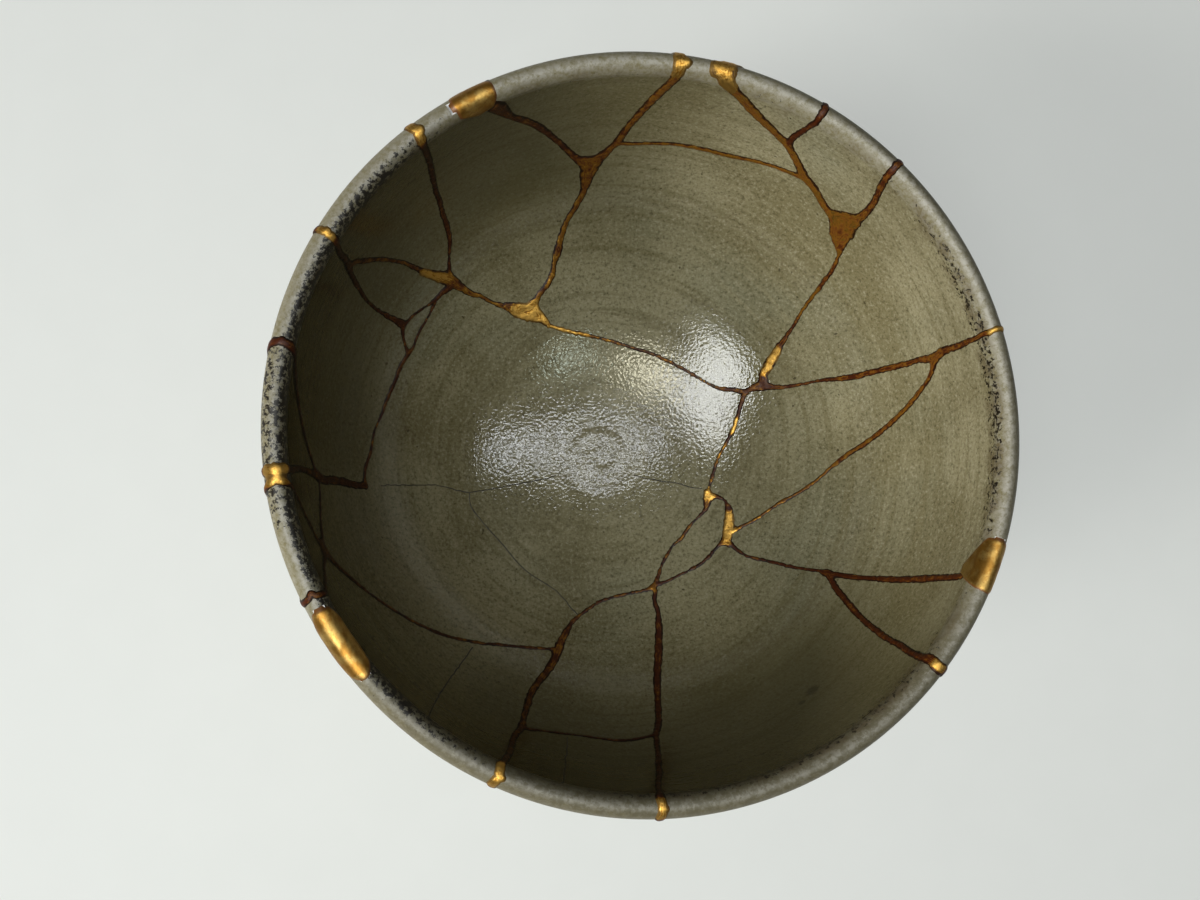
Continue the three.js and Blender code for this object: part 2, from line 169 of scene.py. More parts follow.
def clay_thickness(radius, height, normal_r, normal_z):
    """How far it is through the wall, square to the inside."""
    near = np.zeros_like(radius)
    far = np.full_like(radius, 4 * LIP_WALL)
    for _ in range(40):
        middle = (near + far) / 2
        inside = radius - normal_r * middle < outside_radius(height - normal_z * middle)
        near = np.where(inside, middle, near)
        far = np.where(inside, far, middle)
    return near


def skin_table():
    """Share, radius and height of the skin, from the floor's middle over the lip and down the outside."""
    wall_r, wall_z = inside_wall()
    rise = np.linspace(0.0, math.pi / 2, 60)[1:]
    line_r = np.r_[wall_r, CREST_RADIUS - LIP_WALL / 2 * np.cos(rise)]
    line_z = np.r_[wall_z, SPRING + LIP_ROUND * np.sin(rise)]
    way = length_along(line_r, line_z)
    share = np.linspace(0.0, 100.0, 2001)
    radius = np.interp(share / 100 * way[-1], way, line_r)
    height = np.interp(share / 100 * way[-1], way, line_z)
    normal_r, normal_z = left_of(radius, height)
    through = clay_thickness(radius, height, normal_r, normal_z)
    on_wall = height <= SPRING
    back_r = np.where(on_wall, radius - normal_r * through, 2 * CREST_RADIUS - radius)
    back_z = np.where(on_wall, height - normal_z * through, height)
    table = np.r_[share, 200 - share[-2::-1]]
    return table, np.r_[radius, back_r[-2::-1]], np.r_[height, back_z[-2::-1]], way[-1]


SHARES, SKIN_R, SKIN_Z, CLIMB = skin_table()
NORMAL_R, NORMAL_Z = left_of(SKIN_R, SKIN_Z)


def soft_step(low, high, value):
    part = np.clip((value - low) / (high - low), 0.0, 1.0)
    return part * part * (3 - 2 * part)


def throwing_rings(share):
    """How far the inside's rings stand into the hollow, by the way from the middle of the floor."""
    way = share / 100 * CLIMB
    turn = 2 * math.pi * way / RING_PITCH
    ring = np.sin(turn) + 0.6 * np.sin(turn * 0.61 + 1.3) + 0.5 * np.sin(turn * 0.23 + 0.4)
    swell = 0.55 + 0.45 * np.sin(way * 0.11 + 2.0)
    fade = soft_step(8.0, 16.0, share) * (1 - soft_step(90.0, 95.0, share))
    return RING_DEPTH * ring * swell * fade


def skin_at(degrees, share, lift=0.0):
    """Points of the skin in millimetres, with the throwing rings, lifted square to the clay."""
    turn = np.radians(degrees)
    out = np.interp(share, SHARES, NORMAL_R)
    up = np.interp(share, SHARES, NORMAL_Z)
    size = np.hypot(out, up)
    stand = lift + throwing_rings(share)
    radius = np.interp(share, SHARES, SKIN_R) + out / size * stand
    height = np.interp(share, SHARES, SKIN_Z) + up / size * stand
    return np.stack([radius * np.cos(turn), radius * np.sin(turn), height], -1)


# Node trees

def feed(node, inputs):
    """Gives a node its inputs: a socket is linked, any other value is set."""
    for key, value in inputs.items():
        if isinstance(value, bpy.types.NodeSocket):
            node.id_data.links.new(value, node.inputs[key])
        else:
            node.inputs[key].default_value = value


def put(tree, kind, inputs=None, **settings):
    """Adds a node, with its settings and inputs."""
    made = tree.nodes.new(kind)
    for key, value in settings.items():
        setattr(made, key, value)
    feed(made, inputs or {})
    return made


def worked(operation, *values):
    """The result of a Math node, in the tree that its sockets belong to."""
    tree = next(value.id_data for value in values if isinstance(value, bpy.types.NodeSocket))
    return put(tree, "ShaderNodeMath", dict(enumerate(values)), operation=operation).outputs[0]


def plus(first, second):
    return worked("ADD", first, second)


def minus(first, second):
    return worked("SUBTRACT", first, second)


def times(first, second):
    return worked("MULTIPLY", first, second)


def divided(first, second):
    return worked("DIVIDE", first, second)


def larger(first, second):
    return worked("MAXIMUM", first, second)


def clamped(value):
    return put(value.id_data, "ShaderNodeClamp", {0: value}).outputs[0]


def eased(value, low, high, to_low=0.0, to_high=1.0):
    """A value moved softly from one range to another."""
    inputs = {"Value": value, "From Min": low, "From Max": high, "To Min": to_low, "To Max": to_high}
    return put(value.id_data, "ShaderNodeMapRange", inputs, interpolation_type="SMOOTHSTEP").outputs["Result"]


def new_tree(name, inputs):
    """A geometry tree, its inputs' sockets and its output node. Inputs are names with their kinds."""
    tree = bpy.data.node_groups.new(name, "GeometryNodeTree")
    for label, kind in {"Geometry": "Geometry", **inputs}.items():
        tree.interface.new_socket(label, in_out="INPUT", socket_type="NodeSocket" + kind)
    tree.interface.new_socket("Geometry", in_out="OUTPUT", socket_type="NodeSocketGeometry")
    return tree, put(tree, "NodeGroupInput").outputs, put(tree, "NodeGroupOutput")


def end_tree(tree, result, geometry, finish):
    """Ends a geometry tree with plain geometry in a material."""
    real = put(tree, "GeometryNodeRealizeInstances", {"Geometry": geometry})
    shown = put(tree, "GeometryNodeSetMaterial", {"Geometry": real.outputs[0], "Material": finish})
    feed(result, {0: shown.outputs[0]})
    return tree


def made_by(tree, source, name, values):
    """The plain mesh that a geometry tree makes of an object, with its named inputs set."""
    step = source.modifiers.new(tree.name, "NODES")
    step.node_group = tree
    for item in tree.interface.items_tree:
        if item.item_type == "SOCKET" and item.in_out == "INPUT" and item.name in values:
            step[item.identifier] = values[item.name]
    bpy.context.view_layer.update()
    made = source.evaluated_get(bpy.context.evaluated_depsgraph_get())
    mesh = bpy.data.meshes.new_from_object(made)
    source.modifiers.remove(step)
    bpy.data.objects.remove(source)
    return new_object(name, mesh)


def new_object(name, data):
    made = bpy.data.objects.new(name, data)
    data.name = name
    bpy.context.scene.collection.objects.link(made)
    return made


def mesh_object(name, points, faces, edges=()):
    mesh = bpy.data.meshes.new(name)
    mesh.from_pydata([tuple(point) for point in points], list(edges), list(faces))
    return new_object(name, mesh)


# The thrown bowl, before it broke

def bowl_section():
    """The closed section: recess, foot ring, outside, lip, inside. Points are (radius, height)."""
    inner = FOOT_RADIUS - FOOT_WALL
    corners = [(0.0, FOOT_RECESS), (inner - FOOT_CHAMFER, FOOT_RECESS), (inner, FOOT_CHAMFER),
               (inner + FOOT_CHAMFER, 0.0), (FOOT_RADIUS - FOOT_CHAMFER, 0.0), (FOOT_RADIUS, FOOT_CHAMFER)]
    heights = np.linspace(HIP_LEVEL + 0.01, SPRING, 4000)
    turned = int(np.argmax(outside_radius(heights) > FOOT_RADIUS))
    corners.append((FOOT_RADIUS, float(heights[turned])))
    points = []
    for start, end in zip(corners, corners[1:]):
        count = max(1, round(math.dist(start, end) / FOOT_ROW))
        points += [tuple(np.add(start, np.subtract(end, start) * i / count)) for i in range(count)]
    points.append(corners[-1])
    outside = outside_radius(heights[turned:])
    way = length_along(outside, heights[turned:])
    rows = np.linspace(0.0, way[-1], round(way[-1] / OUTSIDE_ROW))[1:]
    points += zip(np.interp(rows, way, outside), np.interp(rows, way, heights[turned:]))
    lip_share = 100 * (1 - (CLIMB - wall_length()) / CLIMB)
    lip_rows = round((100 - lip_share) / 100 * CLIMB / LIP_ROW)
    shares = np.linspace(200 - lip_share, lip_share, 2 * lip_rows + 1)[1:]
    shares = np.r_[shares, np.linspace(lip_share, 0.0, round(wall_length() / INSIDE_ROW))[1:]]
    skin = skin_at(np.zeros_like(shares), shares)
    points += [(max(0.0, x), z) for x, _, z in skin]
    points[-1] = (0.0, points[-1][1])
    return points


def wall_length():
    return length_along(*inside_wall())[-1]


def throwing_tree():
    """Turns a section about the axis, and winds a shallow swirl into the middle of the floor."""
    tree, given, result = new_tree("throwing", {
        "Flats Around": "Int", "Section Points": "Int", "Button Radius": "Float", "Button Height": "Float",
        "Swirl Pitch": "Float", "Swirl Depth": "Float", "Swirl Level": "Float", "Glaze": "Material"})
    flats, rows = given["Flats Around"], given["Section Points"]
    grid = put(tree, "GeometryNodeMeshGrid", {"Vertices X": plus(flats, 1.0), "Vertices Y": rows})
    index = put(tree, "GeometryNodeInputIndex").outputs[0]
    turn = times(divided(worked("FLOOR", divided(index, rows)), flats), 2 * math.pi)
    place = put(tree, "GeometryNodeInputPosition").outputs[0]
    section = put(tree, "GeometryNodeSampleIndex", {
        "Geometry": given["Geometry"], "Value": place, "Index": worked("MODULO", index, rows)},
        data_type="FLOAT_VECTOR")
    radius, _, level = put(tree, "ShaderNodeSeparateXYZ", {0: section.outputs[0]}).outputs
    # the potter's finger left a low button in the middle of the floor, with a groove that winds inwards
    near = divided(radius, given["Button Radius"])
    button = eased(near, *BUTTON_SLOPE, 1.0, 0.0)
    steps = divided(radius, given["Swirl Pitch"])
    wound = worked("COSINE", minus(times(steps, 2 * math.pi), turn))
    fading = clamped(worked("MINIMUM", times(steps, 2.0), minus(SWIRL_END, near)))
    groove = times(times(wound, fading), given["Swirl Depth"])
    raised = plus(times(button, given["Button Height"]), groove)
    lift = times(raised, worked("GREATER_THAN", level, given["Swirl Level"]))
    ring = put(tree, "ShaderNodeCombineXYZ", {
        "X": times(radius, worked("COSINE", turn)), "Y": times(radius, worked("SINE", turn)),
        "Z": plus(level, lift)})
    turned = put(tree, "GeometryNodeSetPosition", {
        "Geometry": grid.outputs["Mesh"], "Position": ring.outputs[0]})
    closed = put(tree, "GeometryNodeMergeByDistance", {
        "Geometry": turned.outputs[0], "Distance": WELD * MM})
    return end_tree(tree, result, closed.outputs[0], given["Glaze"])


def thrown_bowl(glaze):
    points = [(radius * MM, 0.0, height * MM) for radius, height in bowl_section()]
    section = mesh_object("section", points, [], [(i, i + 1) for i in range(len(points) - 1)])
    return made_by(throwing_tree(), section, "thrown_bowl", {
        "Flats Around": AROUND, "Section Points": len(points), "Button Radius": BUTTON_RADIUS * MM,
        "Button Height": BUTTON_HEIGHT * MM, "Swirl Pitch": SWIRL_PITCH * MM, "Swirl Depth": SWIRL_DEPTH * MM,
        "Swirl Level": (FOOT_RECESS + 1) * MM, "Glaze": glaze})


# The breaks. Each runs through stations of (degrees, share, width of the lacquer), and has a tone:
# 0 is dark red lacquer, 0.5 is gold rubbed down to brown, 1 is bright gold.

BREAKS = {
    "longest": (0.25, [
        (47.6, 101, 2), (47.3, 97.5, 1.8), (46.4, 93, 1.8), (45.6, 90, 1.8), (44.8, 85, 2), (44.4, 77, 3),
        (42.2, 70.6, 1.4), (40, 65.1, 1.2), (38.8, 60.4, 1.3), (36.8, 53.5, 1), (34.9, 50, 0.9),
        (33.4, 46.9, 1.2), (32, 44.5, 2), (29.5, 41.3, 3), (26.9, 38.5, 2.6), (24.2, 37.5, 2.8),
        (24.1, 33.6, 1.4), (16.9, 30.4, 1.3), (13.6, 29.3, 1.3), (1.2, 25.3, 0.9), (-7.2, 24.2, 1),
        (-16.1, 23.8, 1), (-18.5, 23.9, 2.4), (-21, 24.2, 2.6), (-26, 24.8, 1.4), (-28.9, 24.5, 0.9),
        (-37.9, 23.7, 0.9), (-45, 24.1, 1.1), (-51.9, 24.1, 0.9), (-60.8, 25.9, 0.9), (-69.3, 29.3, 1.1),
        (-79.4, 29.3, 1), (-87, 29.8, 0.9), (-92.1, 30.7, 0.9), (-97.2, 32.9, 1), (-101.3, 35.7, 1.3),
        (-103.8, 40.4, 2.2), (-104.5, 42.9, 2.6), (-105.4, 46, 2.2), (-108.8, 53.5, 1.9), (-109.6, 58.5, 1.9),
        (-110.1, 63.5, 1.6), (-110.3, 67.2, 1.8), (-111.7, 72.9, 1.6), (-113, 84.1, 1.6), (-113.9, 89.8, 1.6),
        (-114.9, 96, 1.6), (-115.4, 98, 2), (-114.7, 101, 2.2)]),
    "north": (0.38, [
        (86.3, 101, 4.2), (86.8, 98, 2.8), (87.2, 94.8, 2.4), (88.6, 88.5, 2.4), (89.8, 82.3, 2.2),
        (91.3, 76, 2), (92.3, 71.4, 2.2), (93.8, 68.5, 2.4), (96.8, 63.5, 4.5), (97.5, 58, 2.2),
        (99.2, 54.1, 1.8), (101.3, 51, 1.6), (103.3, 47.3, 1.8), (104.5, 44.4, 2.6), (105.9, 42.3, 1.6),
        (107.4, 39.4, 1.8), (110.1, 37.6, 1.8), (113.2, 36.3, 1.8), (115.8, 34.6, 2.4), (116.8, 33.2, 2.4)]),
    "north_northeast": (0.5, [
        (79.5, 101, 6.5), (78.5, 98, 3.6), (75, 94.8, 3.2), (72.6, 92.3, 3.2), (69.2, 89.6, 3),
        (66.1, 87.6, 2.8), (63.4, 85.9, 2.8), (60.3, 82.9, 2.6), (57.3, 80, 3), (54.2, 78.5, 2.8),
        (51.5, 76.8, 2.6), (48.8, 75.7, 2.8), (46, 75.5, 4.5), (44.2, 75.4, 4.5)]),
    "northeast_chip": (0.0, [
        (62.1, 101, 1.8), (62.2, 98, 1.8), (62.7, 94.8, 1.6), (63.4, 89.8, 1.6), (63.4, 86, 1.8)]),
    "north_cross": (0.5, [
        (56.4, 79.6, 2), (60.7, 78, 1.6), (64.1, 76.8, 1.5), (67.8, 75.3, 1.6), (71.2, 74.1, 1.9),
        (75, 73.5, 1.8), (80, 72.9, 1.6), (85, 71.9, 1.5), (89.6, 71, 1.5), (92.3, 71, 1.8)]),
    "east": (0.22, [
        (16.4, 101, 1.6), (16.2, 98, 1.4), (16, 94.8, 1.4), (15.9, 89.8, 1.4), (15.9, 82.9, 2.2),
        (15.4, 80.4, 2.4), (16, 75, 1.6), (16.2, 69.8, 1.6), (16.7, 63.5, 1.6), (17.2, 57.3, 1.6),
        (18.1, 52.9, 1.4), (19.1, 49.1, 0.9), (20.4, 42.9, 0.9), (22.1, 39.4, 1.6), (24.2, 37.5, 2.8)]),
    "east_branch": (0.42, [
        (15.2, 80.2, 2.4), (12.3, 76.9, 1.5), (9.9, 72.6, 1.5), (7.2, 67.3, 1.5), (4.1, 61.3, 1.5),
        (1.3, 56, 1.5), (-0.7, 52.3, 1.4), (-3.8, 48.8, 1.2), (-7.5, 45.7, 1), (-11.3, 42.3, 0.9),
        (-15, 39.1, 1.2), (-18.1, 37.3, 0.9), (-22.2, 35.4, 0.9), (-26.1, 33.5, 1.1), (-30.3, 31.7, 1.6)]),
    "east_southeast": (0.06, [
        (340.5, 24.6, 2.2), (341, 27.1, 0.9), (338.8, 28.6, 1.3), (337.1, 29.3, 2.2), (334, 30, 2.8),
        (331.8, 30.5, 3), (328, 31.2, 3), (325.4, 31.9, 2.6), (325, 33.6, 1.2), (324.6, 35.5, 0.9),
        (324.7, 37.3, 0.9), (325.9, 39.8, 1), (327.3, 43.5, 1), (328.6, 47.9, 0.9), (330, 52.3, 1),
        (330.3, 54.6, 1.8), (331.7, 62.3, 1.4), (332.7, 68.5, 1.6), (333.4, 74.8, 1.8), (334.1, 81, 1.9),
        (334.6, 86.6, 1.8), (334.9, 92.3, 1.8), (335.2, 94, 1.6)]),
    "southeast": (0.03, [
        (319.5, 101, 3), (319.7, 98, 2.6), (319.6, 95.4, 2), (320.1, 90.4, 1.8), (321, 85.4, 1.8),
        (321.5, 80.4, 1.6), (322.4, 75.4, 1.7), (323.5, 69.8, 1.7), (324.9, 65.4, 1.8), (326.3, 61.6, 1.8),
        (328, 57.9, 1.8), (329.7, 55.4, 1.6), (330.3, 54.6, 1.8)]),
    "floor_southeast": (0.1, [
        (325.2, 32, 2), (322.6, 31, 1.1), (313.2, 30.8, 1), (303.7, 29.9, 0.9), (295.6, 29.5, 1),
        (290.7, 29.3, 1.1)]),
    "south": (0.04, [
        (290.7, 29.3, 1.2), (291.1, 30.4, 1.2), (289.4, 31.9, 1.3), (288.7, 34.8, 1.4), (287.4, 37.3, 2),
        (285, 41.6, 2.2), (283, 45.4, 2.2), (281.3, 49.1, 2), (279.9, 53.5, 1.8), (278.5, 58.5, 1.6),
        (277.5, 61.9, 1.9), (276.3, 64.8, 1.6), (275.8, 67.3, 1.4), (274.8, 72.9, 1.5), (273.8, 77.3, 1.6),
        (272.8, 82.9, 1.6), (271.4, 88.5, 1.4), (270.2, 94.8, 1.5), (269.8, 98.5, 2.2), (270.3, 101, 2)]),
    "south_cross": (0.05, [
        (276.3, 64.8, 1.2), (273, 65.6, 1.1), (271, 66, 1.3), (267.9, 66, 1.4), (265, 65.5, 0.9),
        (261.1, 65.2, 0.8), (257.7, 65.5, 0.9), (253.6, 66.3, 1), (251.2, 67.3, 1.6), (249.7, 67.2, 1.6)]),
    "southwest": (0.2, [
        (255.5, 42.9, 1.6), (254.3, 42.6, 1), (251.2, 43.2, 1), (247.8, 44.1, 1.1), (244.1, 45.2, 1),
        (240.3, 46.6, 1), (235.9, 48.8, 0.9), (232.2, 50.7, 1), (228, 53.2, 1), (221.9, 56.6, 1.1),
        (216.8, 59.8, 1.1), (211.7, 63.8, 1), (207.6, 67.9, 1.4), (205.6, 70.4, 1.7), (203.5, 73.5, 1.9),
        (201.8, 76, 2.4), (200.1, 77.9, 3), (198.4, 81, 1.5), (196, 83.5, 1.3), (194, 87.3, 1.4),
        (191.9, 91.6, 1.4), (190.8, 96, 1.4), (189.2, 100, 2)]),
    "west_southwest": (0.05, [
        (206.4, 101, 1.3), (207.3, 97.9, 1.6), (206.4, 94.8, 1.5), (205.5, 90.4, 1.4), (204.5, 87.3, 1.4),
        (203, 83.5, 1.5), (202.1, 80.4, 1.8), (200.1, 77.9, 2.6), (197.4, 75.4, 1.4), (195, 73.8, 1.1),
        (192.3, 71.9, 1.1), (188.9, 70.5, 1), (187.3, 70.6, 1.4)]),
    "west": (0.08, [
        (187.8, 101, 3.2), (187.8, 98, 2.2), (187.7, 93.5, 1.8), (187, 87.3, 1.6), (186.7, 81.6, 1.5),
        (186.8, 76, 1.6), (187.3, 70.6, 2.6), (187.9, 67.9, 2.3), (187.9, 63.5, 2.2), (188.2, 59.8, 2),
        (188.9, 56, 1.8), (189.1, 53.3, 1.8)]),
    "west_northwest": (0.03, [
        (168.8, 101, 1.8), (169.6, 97.6, 2), (171.2, 94.8, 2.2), (173.1, 91, 2.2), (174.8, 87.3, 1.9),
        (176.9, 83.5, 1.7), (179, 80.4, 1.5), (182.4, 76, 1.4), (185.8, 72.3, 1.4), (187.3, 70.6, 2)]),
    "low_west": (0.2, [
        (189.1, 53.3, 1.8), (186.8, 53.2, 1.3), (184.1, 52.3, 1.2), (181.4, 51.1, 1), (176.5, 50.3, 0.9),
        (172.8, 49.1, 1), (168.4, 48.4, 1.3), (162.6, 47.6, 1.4), (159.2, 47.6, 1.3), (155.3, 47.2, 1.2),
        (153.4, 46.8, 0.9), (150.3, 47.3, 0.9), (147.3, 47.6, 0.9), (143.9, 47.9, 0.9), (140.5, 48.8, 1)]),
    "northwest_sliver": (0.2, [
        (155.3, 47.2, 1), (154.1, 48.5, 0.9), (152.4, 50.4, 1), (150.2, 51.8, 1.6), (149, 51.3, 1),
        (146.9, 51, 1), (144.6, 50.3, 0.9), (141.8, 49.4, 0.9), (140.1, 49.1, 1.4), (138.1, 49.1, 1.6),
        (135.7, 48.8, 2.4), (134.4, 49.6, 2.6)]),
    "northwest": (0.08, [
        (151.2, 101, 2.1), (151.6, 97.7, 1.9), (151.7, 91.6, 1.8), (151, 85.4, 1.9), (150.9, 81, 2.2),
        (151.2, 76, 1.6), (151.5, 69.8, 1.2), (151.8, 64.8, 0.9), (151.7, 61, 0.9), (151.2, 57.3, 1.2),
        (150.5, 53.5, 1.8), (150.2, 51.8, 2)]),
    "north_floor": (0.3, [
        (150.9, 81, 2.2), (149.3, 79.1, 1.8), (147.3, 74.8, 1.6), (145.2, 71, 1.4), (142.9, 66.6, 1.2),
        (140.8, 62.3, 1.2), (139.1, 57.9, 1.6), (137.4, 54.4, 2.4), (134.6, 50.4, 3.4), (132.2, 45, 1.8),
        (129.8, 42.3, 1.2), (128.1, 40, 1.2), (126.1, 38.2, 1.4), (122, 36.2, 2.6), (118, 33.8, 3),
        (115.5, 32.4, 2.8), (114, 30.6, 1.8), (113.2, 29.5, 1.2), (106.4, 27.3, 1.3), (100.6, 26.1, 1.2),
        (90, 24.8, 0.9), (76.9, 24, 0.9), (63.1, 24.4, 0.9), (50.8, 25.2, 0.9), (41.2, 26.4, 0.9),
        (34.8, 27.6, 1), (29.8, 29.3, 1), (26.8, 31.7, 1.4), (24.1, 33.6, 1.2)]),
    "north_northwest": (0.06, [
        (130.3, 101, 2.8), (130.9, 97.9, 2.4), (130.3, 93.5, 1.8), (129.7, 88.5, 1.7), (129.3, 82.3, 1.6),
        (129.1, 76, 1.5), (128.9, 69.8, 1.4), (129.1, 61.6, 1.6), (129.8, 57.9, 1.4), (131.9, 54.1, 0.9),
        (134.2, 50.2, 2)]),
    "under_northwest_fill": (0.14, [
        (118, 96.5, 3.6), (117, 95.4, 4.2), (115.9, 93, 3.5), (114.2, 89.1, 2.2), (112.1, 86, 2.4),
        (109.8, 82.9, 2.2), (107.4, 79.1, 2.2), (105.3, 75.4, 1.8), (102.6, 71, 1.8), (100.2, 67.3, 2),
        (96.8, 63.5, 3.5)]),
}

# Pools of lacquer where breaks meet: their corners as (degrees, share).
POOLS = [
    [(99.9, 67.3), (94.1, 66.9), (97, 59.8)],
    [(45.4, 81.6), (49.8, 76.4), (46.1, 71.2), (42.2, 69), (42.6, 74.1), (43.6, 80.4)],
    [(126.1, 38.2), (122.5, 36.8), (118, 35.7), (115, 36.2), (113, 29.7), (117.6, 31.2), (120.5, 32.2),
     (124, 34.3)],
    [(140, 57), (134, 52), (132.3, 47), (136, 50)],
    [(202, 80.5), (202.6, 76), (198, 76.2), (199, 80.2)],
]

# Chips that the rim lost, built up again, as corners of (degrees, share). A share past 100 is past the crest.
RIM_FILLS = {
    "rim_fill_east": [(333.3, 106), (333.4, 98.6), (334.6, 95), (335.6, 92.8), (337.2, 92.6), (339.6, 95),
                      (342, 98), (342.7, 106)],
    "rim_fill_southwest": [(208.4, 106), (209.2, 98.4), (211.5, 96.6), (216.5, 96.4), (219.4, 97.4),
                           (221, 99.5), (221.2, 106)],
    "rim_fill_northwest": [(116.6, 106), (116.8, 98.8), (117.6, 96), (120.2, 95), (123.6, 97.4), (125, 106)],
}

# Where the gold is thick: (degrees, share, reach, tone).
GOLD_SPOTS = [
    (120, 34.2, 4.2, 1.0), (116, 33.2, 3.6, 1.0), (113, 30, 2.6, 0.9), (107, 27.6, 3.4, 0.95),
    (100, 26, 3.2, 0.85), (91, 25, 3.0, 0.6), (60, 24.4, 4.0, 0.45), (35, 27.5, 3.0, 0.6),
    (30.6, 42.6, 2.6, 1.0), (28, 39.8, 2.2, 0.95), (25, 34, 2.0, 0.3), (13, 29.2, 2.6, 0.8),
    (3, 25.8, 2.5, 0.6), (341.5, 24.2, 2.4, 1.0), (333.5, 30.1, 2.6, 1.0), (329, 31.1, 2.4, 1.0),
    (325.4, 32, 1.4, 0.7), (138.6, 55.5, 2.6, 0.95), (137, 52.8, 2.4, 0.95), (134.5, 51, 2.2, 0.7),
    (45, 79, 5.0, 0.52),
    (44.6, 73, 3.4, 0.4), (97, 64.5, 3.6, 0.5), (15.4, 81, 3.4, 0.35), (42, 69, 4.0, 0.45),
    (37, 55, 9.0, 0.42), (98.5, 56, 4.0, 0.45), (102, 49.5, 5.0, 0.55), (107, 40.5, 5.0, 0.6),
    (88.2, 91, 8.0, 0.42), (331, 54.8, 2.0, 0.15), (290.5, 29.6, 1.6, 0.5), (131.6, 44.6, 3.0, 0.5),
    (128, 40, 3.0, 0.55), (255.3, 42.9, 1.2, 0.5)]

# Bright gold over the rim, partly a painted highlight where the rim ends catch the light: degrees from and
# to, and the share that it comes down to inside.
RIM_GOLD_AND_HIGHLIGHT = [(83.7, 88.2, 97.2), (76.6, 82.4, 95.4), (15.2, 17.3, 98.4), (268.6, 271.8, 98.2),
            (243.9, 246.8, 97.6), (185.8, 189.9, 97.8), (150.0, 152.4, 98.4), (128.6, 131.6, 97.8),
            (318.9, 320.3, 98.8)]

# Hairline cracks in the glaze: places that each one runs through.
HAIRLINES = {
    "across_floor": [
        (189.4, 49.1), (189.6, 45.4), (190.2, 41), (191.1, 36), (193, 32.9), (196.2, 28.8), (198, 21.2),
        (200.2, 15.8), (204, 10.2)],
    "to_east_pool": [(331.7, 8.1), (334.2, 10), (339.9, 15.1), (342.9, 22.5)],
    "low_southwest": [
        (196.5, 29), (201.8, 29.6), (210, 28.7), (221.9, 28), (235.1, 28.9), (250.5, 29.9), (260.5, 33.9)],
    "southwest_wall": [(231.7, 97), (232.5, 82.3), (233.4, 66), (234.6, 51)],
    "south_wall": [(254.6, 97.3), (255.7, 90.4), (256.7, 82.9), (257.7, 75.4), (258.7, 66.6)],
}
HAIRLINE_RADIUS = 0.17
HAIRLINE_WANDER = 0.35
HAIRLINE_SUNK = 0.35
THREAD_SIDES = 6

# Dark spots in the glaze: where, and how far they reach, in metres.
SPOTS = [(tuple(skin_at(306.4, 72.9) * MM), 0.0021), (tuple(skin_at(303.2, 74.1) * MM), 0.0011)]


def smooth_run(stations):
    """A smooth line through stations, in steps of about RUN_STEP. Returns rows of the stations' values."""
    points = np.array(stations, float)
    padded = np.vstack([2 * points[0] - points[1], points, 2 * points[-1] - points[-2]])
    spots = skin_at(points[:, 0], np.minimum(points[:, 1], 100.0))
    run = []
    for i in range(len(points) - 1):
        count = max(1, round(float(np.linalg.norm(spots[i + 1] - spots[i])) / RUN_STEP))
        before, start, end, after = padded[i:i + 4]
        for part in np.arange(count) / count:
            run.append(0.5 * (2 * start + (end - before) * part
                              + (2 * before - 5 * start + 4 * end - after) * part ** 2
                              + (3 * start - before - 3 * end + after) * part ** 3))
    run.append(points[-1])
    return np.array(run)


RUNS = {name: (tone, smooth_run(stations)) for name, (tone, stations) in BREAKS.items()}


# The lacquer's spread over the skin

GRID_SHARES = np.linspace(SEAM_LOWEST, 100.0, round((100 - SEAM_LOWEST) / 100 * CLIMB / SEAM_ROW) + 1)
GRID_DEGREES = np.arange(SEAM_COLUMNS) * 360 / SEAM_COLUMNS
DEGREES, INSIDE_SHARES = np.meshgrid(GRID_DEGREES, GRID_SHARES)
GRID = skin_at(DEGREES, INSIDE_SHARES)


def grid_window(degrees, share, reach):
    """Rows and columns of the grid within a reach of a place."""
    share = min(share, 100.0)
    row_reach = reach / CLIMB * 100
    rows = np.flatnonzero(np.abs(GRID_SHARES - share) <= row_reach)
    radius = max(5.0, float(np.interp(share - row_reach, SHARES, SKIN_R)))
    columns = math.ceil(math.degrees(reach / radius) * SEAM_COLUMNS / 360)
    middle = round(degrees * SEAM_COLUMNS / 360)
    return rows, np.arange(middle - columns, middle + columns + 1) % SEAM_COLUMNS


def reach_of_run(run):
    """For each grid point: how far inside the run's lacquer, how far along it, and half the width there."""
    inside = np.full(DEGREES.shape, OUT_OF_REACH)
    along = np.zeros(DEGREES.shape)
    half = np.full(DEGREES.shape, 1.0)
    spots = skin_at(run[:, 0], np.minimum(run[:, 1], 100.0))
    travelled = np.r_[0.0, np.cumsum(np.linalg.norm(np.diff(spots, axis=0), axis=1))]
    for i in range(len(run) - 1):
        start, step = spots[i], spots[i + 1] - spots[i]
        size = float(step @ step)
        if size < 1e-9:
            continue
        rows, columns = grid_window(run[i, 0], run[i, 1], run[i, 2] / 2 + SEARCH_REACH)
        if not len(rows):
            continue
        window = np.ix_(rows, columns)
        part = np.clip(((GRID[window] - start) @ step) / size, 0.0, 1.0)
        away = np.linalg.norm(GRID[window] - start - part[..., None] * step, axis=-1)
        width = run[i, 2] + (run[i + 1, 2] - run[i, 2]) * part
        deep = width / 2 - away
        nearer = deep > inside[window]
        inside[window] = np.where(nearer, deep, inside[window])
        along[window] = np.where(nearer, travelled[i] + part * math.sqrt(size), along[window])
        half[window] = np.where(nearer, width / 2, half[window])
    return inside, along, half


